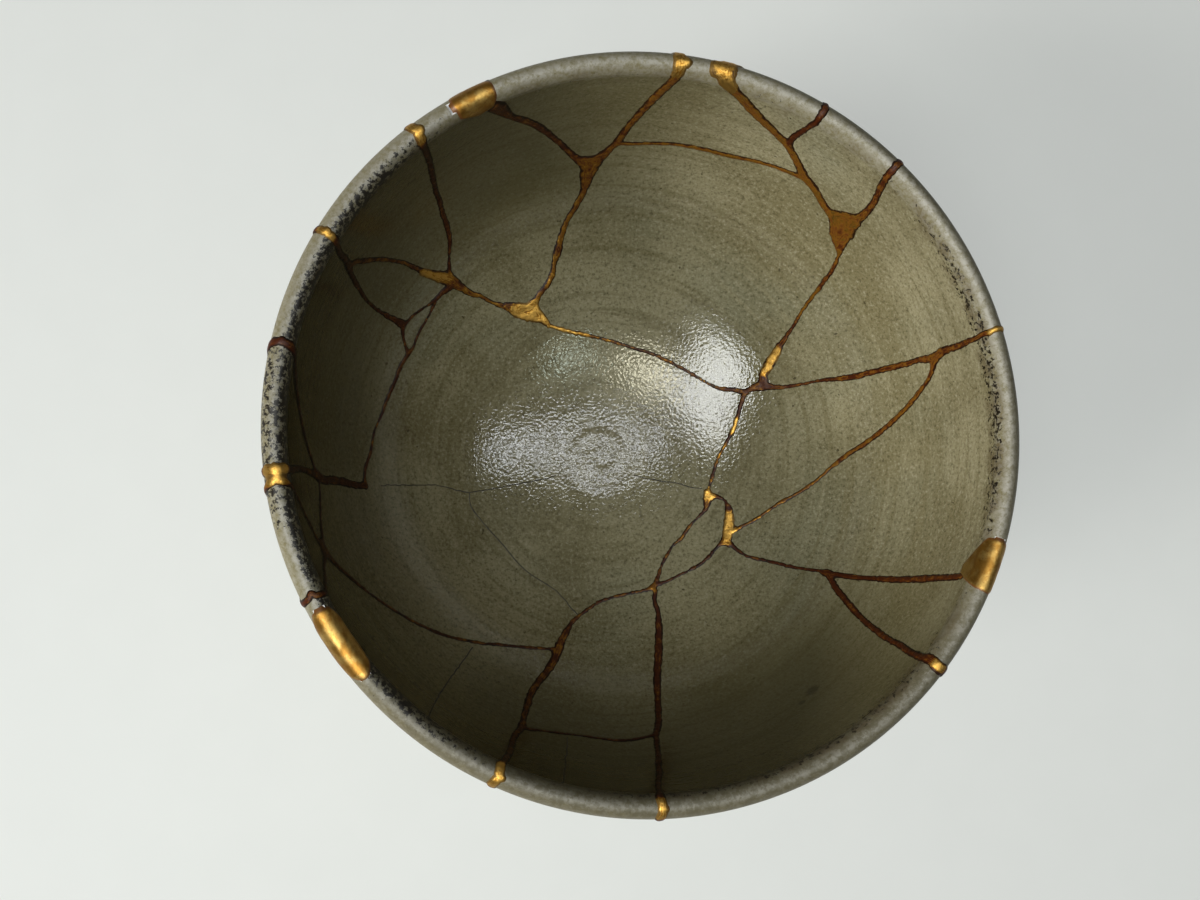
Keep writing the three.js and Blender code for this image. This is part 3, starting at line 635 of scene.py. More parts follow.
def reach_of_patch(corners):
    """How far inside a patch of straight sides each grid point is."""
    corners = np.array(corners, float)
    middle = corners.mean(0)
    radius = float(np.interp(min(middle[1], 100.0), SHARES, SKIN_R))
    scale = np.array([math.radians(radius), CLIMB / 100])
    flat = (corners - middle) * scale
    turn = (DEGREES - middle[0] + 180) % 360 - 180
    x = turn * scale[0]
    y = (INSIDE_SHARES - middle[1]) * scale[1]
    nearest = np.full(DEGREES.shape, 99.0)
    within = np.zeros(DEGREES.shape, bool)
    for (x0, y0), (x1, y1) in zip(flat, np.roll(flat, -1, axis=0)):
        across, up = x1 - x0, y1 - y0
        part = np.clip(((x - x0) * across + (y - y0) * up) / (across ** 2 + up ** 2), 0, 1)
        nearest = np.minimum(nearest, np.hypot(x - x0 - part * across, y - y0 - part * up))
        if up:
            crossing = (y0 > y) != (y1 > y)
            within ^= crossing & (x < across * (y - y0) / up + x0)
    return np.maximum(np.where(within, nearest, -nearest), OUT_OF_REACH)


def roughness_at(near, size, seed):
    """Smooth noise from -1 to 1 for the grid points that near marks, with humps of a size."""
    result = np.zeros(near.shape)
    shift = Vector((seed * 17.3, seed * 5.1, seed * 9.7))
    result[near] = [noise.noise(Vector(spot) + shift) for spot in GRID[near] / size]
    return result


def lacquer_spread(fills):
    """For each grid point: its depth inside the lacquer, the way along it, its tone from red to gold, and its
    depth as a share of the dark edge."""
    total = np.zeros(DEGREES.shape)
    deepest = np.full(DEGREES.shape, OUT_OF_REACH)
    along = np.zeros(DEGREES.shape)
    tone = np.zeros(DEGREES.shape)
    edge = np.full(DEGREES.shape, 1.0)
    for start, (run_tone, run) in enumerate(RUNS.values()):
        inside, way, half = reach_of_run(run)
        total += np.exp(inside / POOL_BLEND)
        nearer = inside > deepest
        deepest = np.where(nearer, inside, deepest)
        along = np.where(nearer, way + BREAK_SPACING * start, along)
        tone = np.where(nearer, run_tone, tone)
        edge = np.where(nearer, EDGE_LEAST + EDGE_SHARE * half, edge)
    for corners in POOLS:
        total += np.exp(reach_of_patch(corners) / POOL_BLEND)
    spread = POOL_BLEND * np.log(total)
    near = spread > -RAGGED_REACH
    spread += sum(far * roughness_at(near, size, seed) for far, size, seed in RAGGED_EDGE)
    for inside in fills.values():
        spread = np.minimum(spread, FILL_TUCK - inside)
    return spread, along, np.clip(with_gold_spots(tone), 0.0, 1.0), np.clip(spread / edge, -1.0, 3.0)


def with_gold_spots(tone):
    """Each grid point's tone once the gold spots and the bright gold over the rim, partly a painted
    highlight, are laid on.
    """
    wanted = tone.copy()
    for degrees, share, reach, spot_tone in GOLD_SPOTS:
        away = np.linalg.norm(GRID - skin_at(degrees, share), axis=-1)
        weight = 1 - soft_step(reach * 0.6, reach * 1.25, away)
        wanted = wanted * (1 - weight) + spot_tone * weight
    # the gold over the rim is made bright, partly a painted highlight where the rim ends catch the light
    for low, high, lowest in RIM_GOLD_AND_HIGHLIGHT:
        middle = (low + high) / 2
        turn = np.abs((DEGREES - middle + 180) % 360 - 180)
        weight = 1 - soft_step((high - low) / 2, (high - low) / 2 + 0.4, turn)
        weight = weight * soft_step(lowest - 0.3, lowest + 0.3, INSIDE_SHARES)
        wanted = wanted * (1 - weight) + weight
    return wanted


# Raised pieces on the skin

def without_corner_touches(cells):
    """Fills cells so that no two of them touch at a corner alone."""
    for _ in range(6):
        beside = np.roll(cells, -1, axis=1)
        one = cells[:-1] & beside[1:] & ~beside[:-1] & ~cells[1:]
        other = beside[:-1] & cells[1:] & ~cells[:-1] & ~beside[1:]
        if not one.any() and not other.any():
            break
        cells[:-1] |= np.roll(one, 1, axis=1) | other
    return cells


def stored(tree, name, kind):
    """An attribute of the geometry."""
    return put(tree, "GeometryNodeInputNamedAttribute", {"Name": name}, data_type=kind).outputs["Attribute"]


def relief_tree():
    """Raises skin into a low dome, lumpy on top, whose edge dips under the glaze. It reads two attributes:
    depth, in millimetres inside the piece's outline, and outward, square to the clay."""
    tree, given, result = new_tree("relief", {
        "Proud": "Float", "Shoulder": "Float", "Lump Height": "Float", "Lump Size": "Float", "Seed": "Float",
        "Finish": "Material"})
    depth = times(stored(tree, "depth", "FLOAT"), MM)
    dome = times(worked("TANH", divided(depth, given["Shoulder"])), given["Proud"])
    noisy = put(tree, "ShaderNodeTexNoise", {
        "Vector": put(tree, "GeometryNodeInputPosition").outputs[0], "W": given["Seed"],
        "Scale": divided(1.0, given["Lump Size"]), "Detail": 1.0, "Roughness": 0.7}, noise_dimensions="4D")
    lumps = times(minus(noisy.outputs["Fac"], 0.5), given["Lump Height"])
    lumps = times(lumps, eased(depth, 0.0, LUMPS_FROM * MM))
    offset = put(tree, "ShaderNodeVectorMath", {
        0: stored(tree, "outward", "FLOAT_VECTOR"), "Scale": plus(dome, lumps)}, operation="SCALE").outputs[0]
    raised = put(tree, "GeometryNodeSetPosition", {"Geometry": given["Geometry"], "Offset": offset})
    return end_tree(tree, result, raised.outputs[0], given["Finish"])


def raised_piece(name, spread, attributes, relief):
    """A closed piece wherever the spread reaches, through the clay from the inside to the outside skin."""
    reaches = spread > -LACQUER_SKIRT
    beside = np.roll(reaches, -1, axis=1)
    cells = without_corner_touches(reaches[:-1] | reaches[1:] | beside[:-1] | beside[1:])
    top = len(GRID_SHARES) - 1
    used = np.zeros(spread.shape, bool)
    for shift in (0, 1):
        moved = np.roll(cells, shift, axis=1)
        used[:-1] |= moved
        used[1:] |= moved
    inner = np.full(spread.shape, -1)
    inner[used] = np.arange(int(used.sum()))
    outer = inner.copy()
    below_top = used.copy()
    below_top[top] = False
    outer[below_top] = int(used.sum()) + np.arange(int(below_top.sum()))
    degrees = np.r_[DEGREES[used], DEGREES[below_top]]
    shares = np.r_[INSIDE_SHARES[used], 200 - INSIDE_SHARES[below_top]]
    skin = skin_at(degrees, shares)
    outward = skin_at(degrees, shares, 1.0) - skin
    faces = []
    for row, column in zip(*np.nonzero(cells)):
        after = (column + 1) % SEAM_COLUMNS
        corners = [(row, column), (row + 1, column), (row + 1, after), (row, after)]
        faces.append([inner[corner] for corner in corners])
        faces.append([outer[corner] for corner in reversed(corners)])
        neighbours = [(row, (column - 1) % SEAM_COLUMNS), (row + 1, column), (row, after), (row - 1, column)]
        for side, (next_row, next_column) in enumerate(neighbours):
            if next_row == top or (next_row >= 0 and cells[next_row, next_column]):
                continue
            start, end = corners[side], corners[(side + 1) % 4]
            wall = [inner[end], inner[start], outer[start], outer[end]]
            faces.append(list(dict.fromkeys(wall)))
    piece = mesh_object("skin", skin * MM, [[int(i) for i in face] for face in faces])
    for label, values in attributes.items():
        numbers = np.r_[values[used], values[below_top]].astype(np.float32)
        piece.data.attributes.new(label, "FLOAT", "POINT").data.foreach_set("value", numbers)
    arrows = outward.astype(np.float32).ravel()
    piece.data.attributes.new("outward", "FLOAT_VECTOR", "POINT").data.foreach_set("vector", arrows)
    raised = made_by(relief_tree(), piece, name, relief)
    raised.data.attributes.remove(raised.data.attributes["outward"])
    finish_shading(raised, 70)
    return raised


def finish_shading(piece, sharpest):
    piece.data.shade_smooth()
    piece.data.set_sharp_from_angle(angle=math.radians(sharpest))


def relief_sizes(proud, lump_height, lump_size, seed, finish):
    return {"Proud": proud * MM, "Shoulder": LACQUER_SHOULDER * MM, "Lump Height": lump_height * MM,
            "Lump Size": lump_size * MM, "Seed": seed, "Finish": finish}


def lacquer_network(fills, lacquer):
    spread, along, tone, core = lacquer_spread(fills)
    attributes = {"gold": tone, "depth": spread, "along": along, "core": core}
    relief = relief_sizes(LACQUER_PROUD, LACQUER_LUMPS, LACQUER_LUMP_SIZE, LACQUER_SEED, lacquer)
    return raised_piece("lacquer_network", spread, attributes, relief)


def rim_fill(name, inside, gilding):
    relief = relief_sizes(FILL_PROUD, FILL_LUMPS, FILL_LUMP_SIZE, FILL_SEED, gilding)
    return raised_piece(name + "_gilt", inside, {"depth": inside}, relief)


# Breaking the clay

def cutter(name, rings):
    """A closed bar of rings of four corners."""
    faces = [[3, 2, 1, 0], [4 * len(rings) - 4 + i for i in range(4)]]
    for i in range(len(rings) - 1):
        faces += [[4 * i + j, 4 * i + (j + 1) % 4, 4 * i + 4 + (j + 1) % 4, 4 * i + 4 + j] for j in range(4)]
    return mesh_object(name, np.vstack(rings) * MM, faces)


def break_cutter(name, run):
    """A thin wall that follows a break and goes through the clay, hidden under the lacquer."""
    shares = run[:, 1]
    inner = skin_at(run[:, 0], np.minimum(shares, 100.0))
    inner[:, 2] += np.maximum(shares - 100.0, 0.0) / 100 * CLIMB
    through = np.radians(run[:, 0])
    lean = np.where(shares < 97, np.interp(shares, SHARES, NORMAL_R), -1.0)
    drop = np.where(shares < 97, np.interp(shares, SHARES, NORMAL_Z), 0.0)
    outward = np.stack([-lean * np.cos(through), -lean * np.sin(through), -drop], -1)
    outward /= np.linalg.norm(outward, axis=1, keepdims=True)
    way = np.gradient(inner, axis=0)
    across = np.cross(way, outward)
    across /= np.linalg.norm(across, axis=1, keepdims=True)
    half = np.maximum(run[:, 2] * GAP_SHARE, NARROWEST_GAP)[:, None] / 2
    inner[0] -= way[0] / np.linalg.norm(way[0]) * CUT_OVERRUN
    inner[-1] += way[-1] / np.linalg.norm(way[-1]) * CUT_OVERRUN
    near, far = inner - CUT_INSIDE * outward, inner + CUT_OUTSIDE * outward
    rings = [np.stack(ring) for ring in zip(near + across * half, near - across * half,
                                            far - across * half, far + across * half)]
    return cutter(name, rings)


def fill_cutter(name, corners):
    """A block through the lip, a little smaller than the fill that hides its edges."""
    degrees, shares = np.array(corners, float).T
    overlap = FILL_OVERLAP_DEGREES
    inside = SHARES < 100
    rings = []
    for turned in np.linspace(degrees.min() + overlap, degrees.max() - overlap, FILL_CUT_RINGS):
        lowest = np.interp([turned - overlap, turned, turned + overlap], degrees, shares).max()
        height = np.interp(min(lowest + FILL_OVERLAP_SHARE, 99.0), SHARES[inside], SKIN_Z[inside])
        turn = math.radians(turned)
        side = np.array([math.cos(turn), math.sin(turn), 0.0])
        near, far = side * (LIP_INNER - CUT_INSIDE), side * (RIM_RADIUS + CUT_INSIDE)
        low, high = np.array([0, 0, height]), np.array([0, 0, HEIGHT + 4])
        rings.append(np.array([near + low, near + high, far + high, far + low]))
    return cutter(name, rings)


def face_outwards(piece):
    """Turns a closed piece's faces outwards."""
    mesh = piece.data
    mesh.calc_loop_triangles()
    spots = np.array([vertex.co for vertex in mesh.vertices])
    corners = np.array([triangle.vertices for triangle in mesh.loop_triangles])
    a, b, c = (spots[corners[:, i]] for i in range(3))
    if np.einsum("ij,ij->i", a, np.cross(b, c)).sum() < 0:
        mesh.flip_normals()


def broken_apart(bowl, cutters):
    """Takes each cutter away from the bowl and returns the loose shards."""
    face_outwards(bowl)
    for tool in cutters:
        face_outwards(tool)
        cut = bowl.modifiers.new(tool.name, "BOOLEAN")
        cut.operation = "DIFFERENCE"
        cut.solver = "MANIFOLD"
        cut.object = tool
        mesh = bpy.data.meshes.new_from_object(bowl.evaluated_get(bpy.context.evaluated_depsgraph_get()))
        bowl.modifiers.remove(cut)
        bowl.data = mesh
        bpy.data.objects.remove(tool)
    before = set(bpy.data.objects)
    for other in before:
        other.select_set(other == bowl)
    bpy.context.view_layer.objects.active = bowl
    bpy.ops.object.mode_set(mode="EDIT")
    bpy.ops.mesh.separate(type="LOOSE")
    bpy.ops.object.mode_set(mode="OBJECT")
    return [bowl] + [made for made in bpy.data.objects if made not in before]


WORST_MISS = 20.0


def nearest_shard(shards, node):
    """The loose shard that lies where a node of the frame lies."""
    low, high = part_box(node)
    misses = []
    for shard in shards:
        spots = np.array([vertex.co for vertex in shard.data.vertices])
        low_miss, high_miss = spots.min(0) - tuple(low), spots.max(0) - tuple(high)
        misses.append(float(np.abs(low_miss).sum() + np.abs(high_miss).sum()))
    best = int(np.argmin(misses))
    if misses[best] > WORST_MISS * MM:
        raise ValueError(f"no shard fits {node}: the nearest misses by {misses[best]:.4f} m")
    return shards.pop(best)


# Cracks in the glaze

def hairline_tree():
    """A thin round thread along a curve."""
    tree, given, result = new_tree("hairline", {"Thread Radius": "Float", "Crack": "Material"})
    circle = put(tree, "GeometryNodeCurvePrimitiveCircle", {
        "Resolution": THREAD_SIDES, "Radius": given["Thread Radius"]})
    line = put(tree, "GeometryNodeMeshToCurve", {0: given["Geometry"]})
    thread = put(tree, "GeometryNodeCurveToMesh", {
        "Curve": line.outputs[0], "Profile Curve": circle.outputs[0], "Fill Caps": True})
    return end_tree(tree, result, thread.outputs[0], given["Crack"])


def hairlines(crack):
    """All the hairline cracks, as threads sunk into the glaze."""
    points, edges = [], []
    for places in HAIRLINES.values():
        run = smooth_run([(degrees, share, 1.0) for degrees, share in places])
        wander = np.array([noise.noise(Vector((i * 0.7, len(points) * 0.3, 0.0))) for i in range(len(run))])
        radius = np.interp(run[:, 1], SHARES, SKIN_R)
        degrees = run[:, 0] + np.degrees(HAIRLINE_WANDER * wander / radius)
        spots = skin_at(degrees, run[:, 1], -HAIRLINE_SUNK * HAIRLINE_RADIUS)
        edges += [(len(points) + i, len(points) + i + 1) for i in range(len(spots) - 1)]
        points += [tuple(spot * MM) for spot in spots]
    paths = mesh_object("paths", points, [], edges)
    threads = made_by(hairline_tree(), paths, "glaze_hairlines", {
        "Thread Radius": HAIRLINE_RADIUS * MM, "Crack": crack})
    threads.data.shade_smooth()
    return threads


# Materials

GLAZE_LIGHT = (0.3, 0.268, 0.158, 1)
GLAZE_DARK = (0.19, 0.164, 0.084, 1)
GLAZE_GREEN = (0.215, 0.21, 0.135, 1)
GLAZE_PALE = (0.46, 0.43, 0.31, 1)
# painted shade for the south-east and north-west walls
GLAZE_PAINTED_SHADE = (0.1, 0.085, 0.032, 1)
SPECKLE = (0.05, 0.04, 0.018, 1)
IRON = (0.012, 0.008, 0.004, 1)
IRON_BROWN = (0.06, 0.03, 0.012, 1)
LIP_GREY = (0.27, 0.25, 0.19, 1)
# pale glaze on the crest, partly a painted highlight
LIP_PALE_AND_HIGHLIGHT = (0.37, 0.35, 0.3, 1)
BARE_CLAY = (0.3, 0.215, 0.14, 1)
BARE_SAND = (0.36, 0.27, 0.18, 1)
LACQUER_RED = (0.055, 0.011, 0.002, 1)
LACQUER_BROWN = (0.135, 0.044, 0.006, 1)
RUBBED_GOLD = (0.25, 0.112, 0.011, 1)
BRIGHT_GOLD = (0.46, 0.265, 0.06, 1)
BURNISHED = (0.4, 0.25, 0.068, 1)
RIM_SHADE = (0.1, 0.088, 0.055, 1)
SOOT = (0.013, 0.005, 0.002, 1)


def new_material(name):
    """A material, its shader and its pattern's place."""
    made = bpy.data.materials.new(name)
    made.use_nodes = True
    tree = made.node_tree
    tree.nodes.clear()
    output = put(tree, "ShaderNodeOutputMaterial")
    shader = put(tree, "ShaderNodeBsdfPrincipled")
    feed(output, {0: shader.outputs[0]})
    return made, shader, put(tree, "ShaderNodeTexCoord").outputs["Object"]


def grain(place, scale, detail=2.0, roughness=0.5):
    """Smooth noise, with humps of about 1 / scale metres."""
    inputs = {"Vector": place, "Scale": scale, "Detail": detail, "Roughness": roughness}
    return put(place.id_data, "ShaderNodeTexNoise", inputs).outputs["Fac"]


def swing(noisy, amount):
    """Noise that goes as far below nought as above it."""
    return times(minus(noisy, 0.5), amount)


def mixed(share, first, second):
    """Two colours mixed by a share."""
    return put(share.id_data, "ShaderNodeMix", {0: share, 6: first, 7: second}, data_type="RGBA").outputs[2]


def bumped(height, strength, distance, under=None):
    """A bumped surface, over another one where it's given. Distance is in metres."""
    inputs = {"Strength": strength, "Distance": distance, "Height": height}
    if under is not None:
        inputs["Normal"] = under
    return put(height.id_data, "ShaderNodeBump", inputs).outputs[0]


def arc_share(turn, middle, low, high, most):
    """A share that rises to most about a middle direction. Low and high are cosines of the turn from it."""
    return eased(worked("COSINE", minus(turn, math.radians(middle))), low, high, 0.0, most)


def lip_tone(place, turn, radius, height, fine):
    """The lip breaks greyer than the wall, and palest along its crest, where the pale is in part a painted
    highlight. It is darker on the south, and on the outer side in the north-east.
    """
    colour = mixed(eased(fine, 0.36, 0.62), GLAZE_DARK, LIP_GREY)
    # the pale crest top is partly a painted highlight along the crest
    crest = times(eased(height, 0.0938, 0.0949), eased(radius, 0.0788, 0.0774))
    mottle = eased(grain(place, 620.0, 4.0, 0.8), 0.42, 0.58, 0.0, 0.9)
    colour = mixed(times(crest, mottle), colour, LIP_PALE_AND_HIGHLIGHT)
    shade = arc_share(turn, 274, 0.3, 0.74, 0.85)
    outer = times(arc_share(turn, 25, 0.57, 0.9, 0.7), eased(radius, 0.0766, 0.0777))
    shade = times(larger(shade, outer), minus(1.0, times(mottle, 0.4)))
    return mixed(shade, colour, RIM_SHADE)


def iron_along_lip(colour, place, turn, radius, height, wavy, flecks):
    """Iron gathers along the lip's inner edge, most on the west."""
    west = arc_share(turn, 184, 0.3, 0.78, 1.0)
    east = arc_share(turn, 8, 0.68, 0.97, 0.72)
    south = arc_share(turn, 292, 0.6, 0.97, 0.66)
    dense = larger(larger(east, south), larger(west, 0.36))
    band = times(eased(wavy, 0.0868, 0.0915), eased(height, 0.0948, 0.0935))
    band = times(band, dense)
    over = times(eased(height, 0.0922, 0.0935), times(west, 0.9))
    inward = eased(radius, 0.0779, 0.0766, 0.2, 1.0)
    across = times(arc_share(turn, 182, 0.93, 0.995, 0.78), eased(height, 0.0905, 0.0925))
    amount = larger(times(larger(band, over), inward), across)
    iron = clamped(times(minus(flecks, minus(0.76, times(amount, 0.35))), 16.0))
    stain = eased(grain(place, 260.0, 3.0), 0.42, 0.62, 0.0, 0.55)
    colour = mixed(times(stain, times(band, inward)), colour, IRON_BROWN)
    return mixed(times(iron, eased(amount, 0.02, 0.15)), colour, IRON)


def glaze_material():
    """Greenish grey-brown stoneware glaze, speckled, with iron along the lip and bare clay under the foot."""
    made, shader, place = new_material("stoneware_glaze")
    tree = made.node_tree
    x, y, height = put(tree, "ShaderNodeSeparateXYZ", {0: place}).outputs
    radius = worked("SQRT", plus(times(x, x), times(y, y)))
    turn = worked("ARCTAN2", y, x)
    # broad clouds, then rings that follow the throwing, then fine grain
    clouds = grain(place, 34.0, 3.0)
    colour = mixed(eased(clouds, 0.36, 0.66), GLAZE_DARK, GLAZE_LIGHT)
    moved = put(tree, "ShaderNodeVectorMath", {0: place, 1: (3.0, 1.0, 2.0)}, operation="ADD").outputs[0]
    colour = mixed(eased(grain(moved, 22.0), 0.45, 0.7, 0.0, 0.6), colour, GLAZE_GREEN)
    banded = put(tree, "ShaderNodeCombineXYZ", {
        "X": times(plus(radius, height), 330.0), "Y": times(worked("SINE", turn), 1.1),
        "Z": times(worked("COSINE", turn), 1.1)}).outputs[0]
    rings = grain(banded, 1.0, 2.0, 0.6)
    fine = grain(place, 1150.0, 4.0, 0.8)
    specks = grain(place, 700.0, 1.0, 0.5)
    for noisy, low, high, at_low, at_high, tone in (
            (rings, 0.34, 0.52, 0.66, 0.0, GLAZE_DARK), (rings, 0.5, 0.68, 0.0, 0.42, GLAZE_LIGHT),
            (fine, 0.34, 0.5, 0.62, 0.0, SPECKLE), (fine, 0.52, 0.68, 0.0, 0.5, GLAZE_PALE),
            (specks, 0.755, 0.8, 0.0, 0.8, SPECKLE)):
        colour = mixed(eased(noisy, low, high, at_low, at_high), colour, tone)
    # painted shade: the south-east and north-west walls are darkened, where the rim shades them from the low
    # light
    deep = larger(arc_share(turn, 284, 0.5, 0.9, 0.7), arc_share(turn, 140, 0.3, 0.9, 0.62))
    colour = mixed(times(deep, eased(height, 0.022, 0.05)), colour, GLAZE_PAINTED_SHADE)
    wavy = plus(height, times(clouds, 0.0016))
    lip = eased(wavy, 0.0912, 0.0936)
    colour = mixed(times(lip, 0.85), colour, lip_tone(place, turn, radius, height, fine))
    flecks = grain(place, 900.0, 3.0, 0.75)
    colour = iron_along_lip(colour, place, turn, radius, height, wavy, flecks)
    # two dark spots in the glaze on the south-east wall
    for spot_place, reach in SPOTS:
        away = put(tree, "ShaderNodeVectorMath", {0: place, 1: spot_place}, operation="DISTANCE")
        away = plus(away.outputs["Value"], times(flecks, reach * 0.8))
        colour = mixed(eased(away, reach * 0.9, reach * 1.5, 0.7, 0.0), colour, SPECKLE)
    # the foot ring's underside stays bare
    bare = eased(height, 0.0016, 0.0009)
    colour = mixed(bare, colour, mixed(fine, BARE_CLAY, BARE_SAND))
    gloss = plus(plus(eased(clouds, 0.3, 0.7, 0.08, 0.14), times(lip, 0.38)), times(bare, 0.6))
    peel = bumped(grain(place, 1250.0, 1.0, 0.5), 1.0, 0.000075)
    sand = bumped(fine, 0.15, 0.00004, peel)
    feed(shader, {"Base Color": colour, "Roughness": gloss, "IOR": 1.42, "Normal": sand})
    return made


def attribute(tree, name):
    return put(tree, "ShaderNodeAttribute", attribute_name=name).outputs["Fac"]


def lacquer_material():
    """Red-brown lacquer under gold dust, which is thick on some stretches and rubbed away on others."""
    made, shader, place = new_material("gold_dusted_lacquer")
    tree = made.node_tree
    gold, depth, along, core = (attribute(tree, name) for name in ("gold", "depth", "along", "core"))
    lengthways = put(tree, "ShaderNodeCombineXYZ", {"X": times(along, 0.4), "Y": times(depth, 3.6)})
    streaks = grain(lengthways.outputs[0], 1.0, 3.0, 0.6)
    dust = grain(place, 2200.0, 3.0, 0.7)
    worn = grain(place, 430.0, 4.0, 0.65)
    cover = plus(plus(plus(gold, swing(worn, 1.3)), swing(dust, 0.5)), swing(streaks, 2.0))
    colour = mixed(eased(cover, 0.08, 0.38), LACQUER_RED, LACQUER_BROWN)
    colour = mixed(eased(cover, 0.32, 0.66), colour, RUBBED_GOLD)
    colour = mixed(eased(cover, 0.68, 0.95), colour, BRIGHT_GOLD)
    edge = eased(plus(core, swing(worn, 2.2)), 0.45, 1.15, 0.95, 0.0)
    edge = times(edge, eased(gold, 0.6, 1.0, 1.0, 0.7))
    feed(shader, {
        "Base Color": mixed(edge, colour, SOOT),
        "Metallic": clamped(minus(eased(cover, 0.35, 0.85, 0.0, 0.95), edge)),
        "Roughness": eased(dust, 0.3, 0.7, 0.4, 0.6), "Specular IOR Level": 0.16,
        "Normal": bumped(dust, 0.5, 0.00005, bumped(worn, 1.0, 0.00022))})
    return made


def gilding_material():
    """Burnished gold on the rim fills, with brush marks and darker lacquer at the edge."""
    made, shader, place = new_material("burnished_gold")
    depth = attribute(made.node_tree, "depth")
    worn = grain(place, 300.0, 4.0, 0.65)
    dust = grain(place, 2000.0, 3.0, 0.7)
    stretched = put(made.node_tree, "ShaderNodeMapping", {"Vector": place, "Scale": (1.0, 0.25, 1.0)})
    brushed = grain(stretched.outputs[0], 900.0, 3.0, 0.6)
    colour = mixed(eased(worn, 0.4, 0.62, 0.85, 0.0), BURNISHED, RUBBED_GOLD)
    colour = mixed(eased(dust, 0.3, 0.46, 0.6, 0.0), colour, LACQUER_BROWN)
    edge = eased(plus(depth, times(worn, 0.8)), 0.5, 1.1, 0.92, 0.0)
    feed(shader, {
        "Base Color": mixed(edge, colour, LACQUER_BROWN), "Metallic": minus(0.82, times(edge, 0.7)),
        "Roughness": eased(brushed, 0.3, 0.7, 0.38, 0.56), "Normal": bumped(brushed, 0.7, 0.0001)})
    return made


def crack_material():
    """The dark line of a hairline crack."""
    made, shader, place = new_material("crack_line")
    colour = mixed(eased(grain(place, 260.0, 2.0), 0.35, 0.65), IRON, SPECKLE)
    feed(shader, {"Base Color": colour, "Roughness": 0.75})
    return made


def floor_material():
    """A pale table top. It glows a little, as it does where light comes from the whole room."""
    made, shader, place = new_material("pale_floor")
    colour = mixed(grain(place, 60.0, 3.0), (0.42, 0.43, 0.415, 1), (0.39, 0.4, 0.385, 1))
    feed(shader, {"Base Color": colour, "Roughness": 0.6, "Emission Color": (0.97, 1.0, 0.97, 1),
                  "Emission Strength": 0.36})
    return made


# Making the pieces

def make_bowl():
    fills = {name: reach_of_patch(corners) for name, corners in RIM_FILLS.items()}
    glaze = glaze_material()
    lacquer = lacquer_material()
    gilding = gilding_material()
    cutters = [break_cutter(name, run) for name, (_, run) in RUNS.items()]
    cutters += [fill_cutter(name, corners) for name, corners in RIM_FILLS.items()]
    shards = broken_apart(thrown_bowl(glaze), cutters)
    for node in frame["nodes"]:
        if not node.startswith(("rim_shard", "rim_chip", "wall", "foot")):
            continue
        shard = nearest_shard(shards, node)
        shard.name = shard.data.name = node + "_clay"
        finish_shading(shard, 35)
        attach(shard, node)
    for spare in shards:
        bpy.data.objects.remove(spare)
    network = lacquer_network(fills, lacquer)
    attach(network, "lacquer_seams")
    for name, inside in fills.items():
        attach(rim_fill(name, inside, gilding), name)
    attach(hairlines(crack_material()))


def attach(piece, node=None):
    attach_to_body(piece, "root")
    if node:
        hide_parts(node)


# The photograph's view, the floor and the lights

EYE = Vector((-48.54, -27.27, 325.0)) * MM
LEAN_RIGHT = math.radians(8.8404)
LEAN_UP = math.radians(5.3396)
LENS = 34.5
FLOOR_HALF = 3.0


def add_camera():
    camera = bpy.data.cameras.new("camera")
    camera.lens = LENS
    camera.sensor_width = 36.0
    camera.sensor_fit = "HORIZONTAL"
    camera.clip_start = 0.01
    forward = Vector((math.tan(LEAN_RIGHT), math.tan(LEAN_UP), -1.0)).normalized()
    up = Vector((0, 1, 0))
    up = (up - up.dot(forward) * forward).normalized()
    right = forward.cross(up)
    stand = new_object("camera", camera)
    turn = Matrix((right, up, -forward)).transposed()
    stand.matrix_world = Matrix.Translation(EYE) @ turn.to_4x4()
    bpy.context.scene.camera = stand


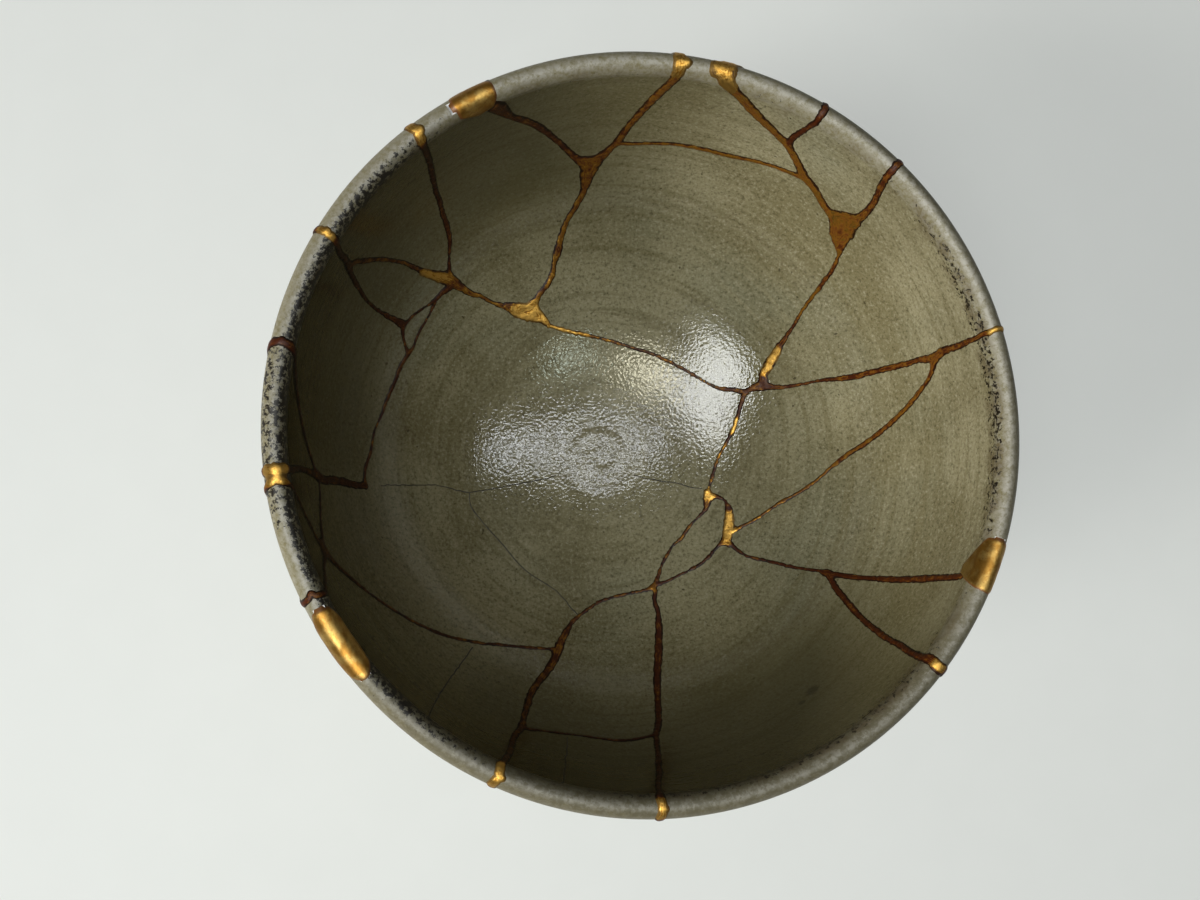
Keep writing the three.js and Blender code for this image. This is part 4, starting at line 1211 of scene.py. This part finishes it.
# Soft panels that face the bowl: the way to them, how far they are in metres, their size, the turn of their
# long side in degrees, their radiance, which is what a mirror sees, and their colour.
PANELS = {
    "southwest_window": ((-0.82, -0.372, 0.45), 2.0, (0.8, 0.6), 0, 22.5, (1.0, 0.985, 0.95)),
    "southwest_panel": ((-0.33, -0.22, 0.92), 1.5, (0.8, 0.5), 53, 8.6, (0.96, 1.0, 0.98)),
    "southwest_gleam": ((-0.33, -0.23, 0.92), 1.45, (0.8, 0.38), 53, 9.6, (0.97, 0.99, 1.0)),
    "east_strip": ((0.27, 0.06, 0.96), 1.5, (1.0, 0.11), 4, 17.0, (0.92, 0.96, 1.0)),
    "warm_lamp": ((-0.02, -0.21, 0.97), 1.5, (0.24, 0.2), 0, 25.0, (1.0, 0.96, 0.74)),
    "small_window": ((0.26, -0.26, 0.92), 1.5, (0.15, 0.13), 20, 17.5, (0.84, 1.0, 0.88)),
    "ceiling": ((0.0, 0.0, 1.0), 1.7, (3.2, 3.2), 0, 0.16, (0.88, 1.0, 0.97)),
}
ONLY_LIGHTS = ("southwest_window",)
ONLY_GLEAM = ("southwest_gleam", "east_strip", "warm_lamp", "small_window", "ceiling")


def add_panel(name, way, distance, size, turn, radiance, colour):
    lamp = bpy.data.lights.new(name, "AREA")
    lamp.shape = "RECTANGLE"
    lamp.size, lamp.size_y = size
    lamp.energy = radiance * math.pi * size[0] * size[1]
    lamp.color = colour
    stand = new_object(name, lamp)
    away = Vector(way).normalized()
    level = Vector((math.cos(math.radians(turn)), math.sin(math.radians(turn)), 0))
    across = (level - level.dot(away) * away).normalized()
    facing = Matrix((across, away.cross(across), away)).transposed()
    stand.matrix_world = Matrix.Translation(away * distance) @ facing.to_4x4()
    stand.visible_glossy = name not in ONLY_LIGHTS
    stand.visible_diffuse = name not in ONLY_GLEAM


def add_surroundings():
    """The floor, the panels, and a pale room that only the camera sees."""
    corners = [(x * FLOOR_HALF, y * FLOOR_HALF, 0) for x, y in ((-1, -1), (1, -1), (1, 1), (-1, 1))]
    floor = mesh_object("floor", corners, [[0, 1, 2, 3]])
    floor.data.materials.append(floor_material())
    for name, panel in PANELS.items():
        add_panel(name, *panel)
    world = bpy.data.worlds.new("room")
    bpy.context.scene.world = world
    world.use_nodes = True
    feed(world.node_tree.nodes["Background"], {"Color": (0.97, 1.0, 0.98, 1), "Strength": 0.5})
    world.cycles_visibility.diffuse = False
    world.cycles_visibility.glossy = False
    bpy.context.scene.view_settings.view_transform = "Standard"


make_bowl()
add_camera()
add_surroundings()
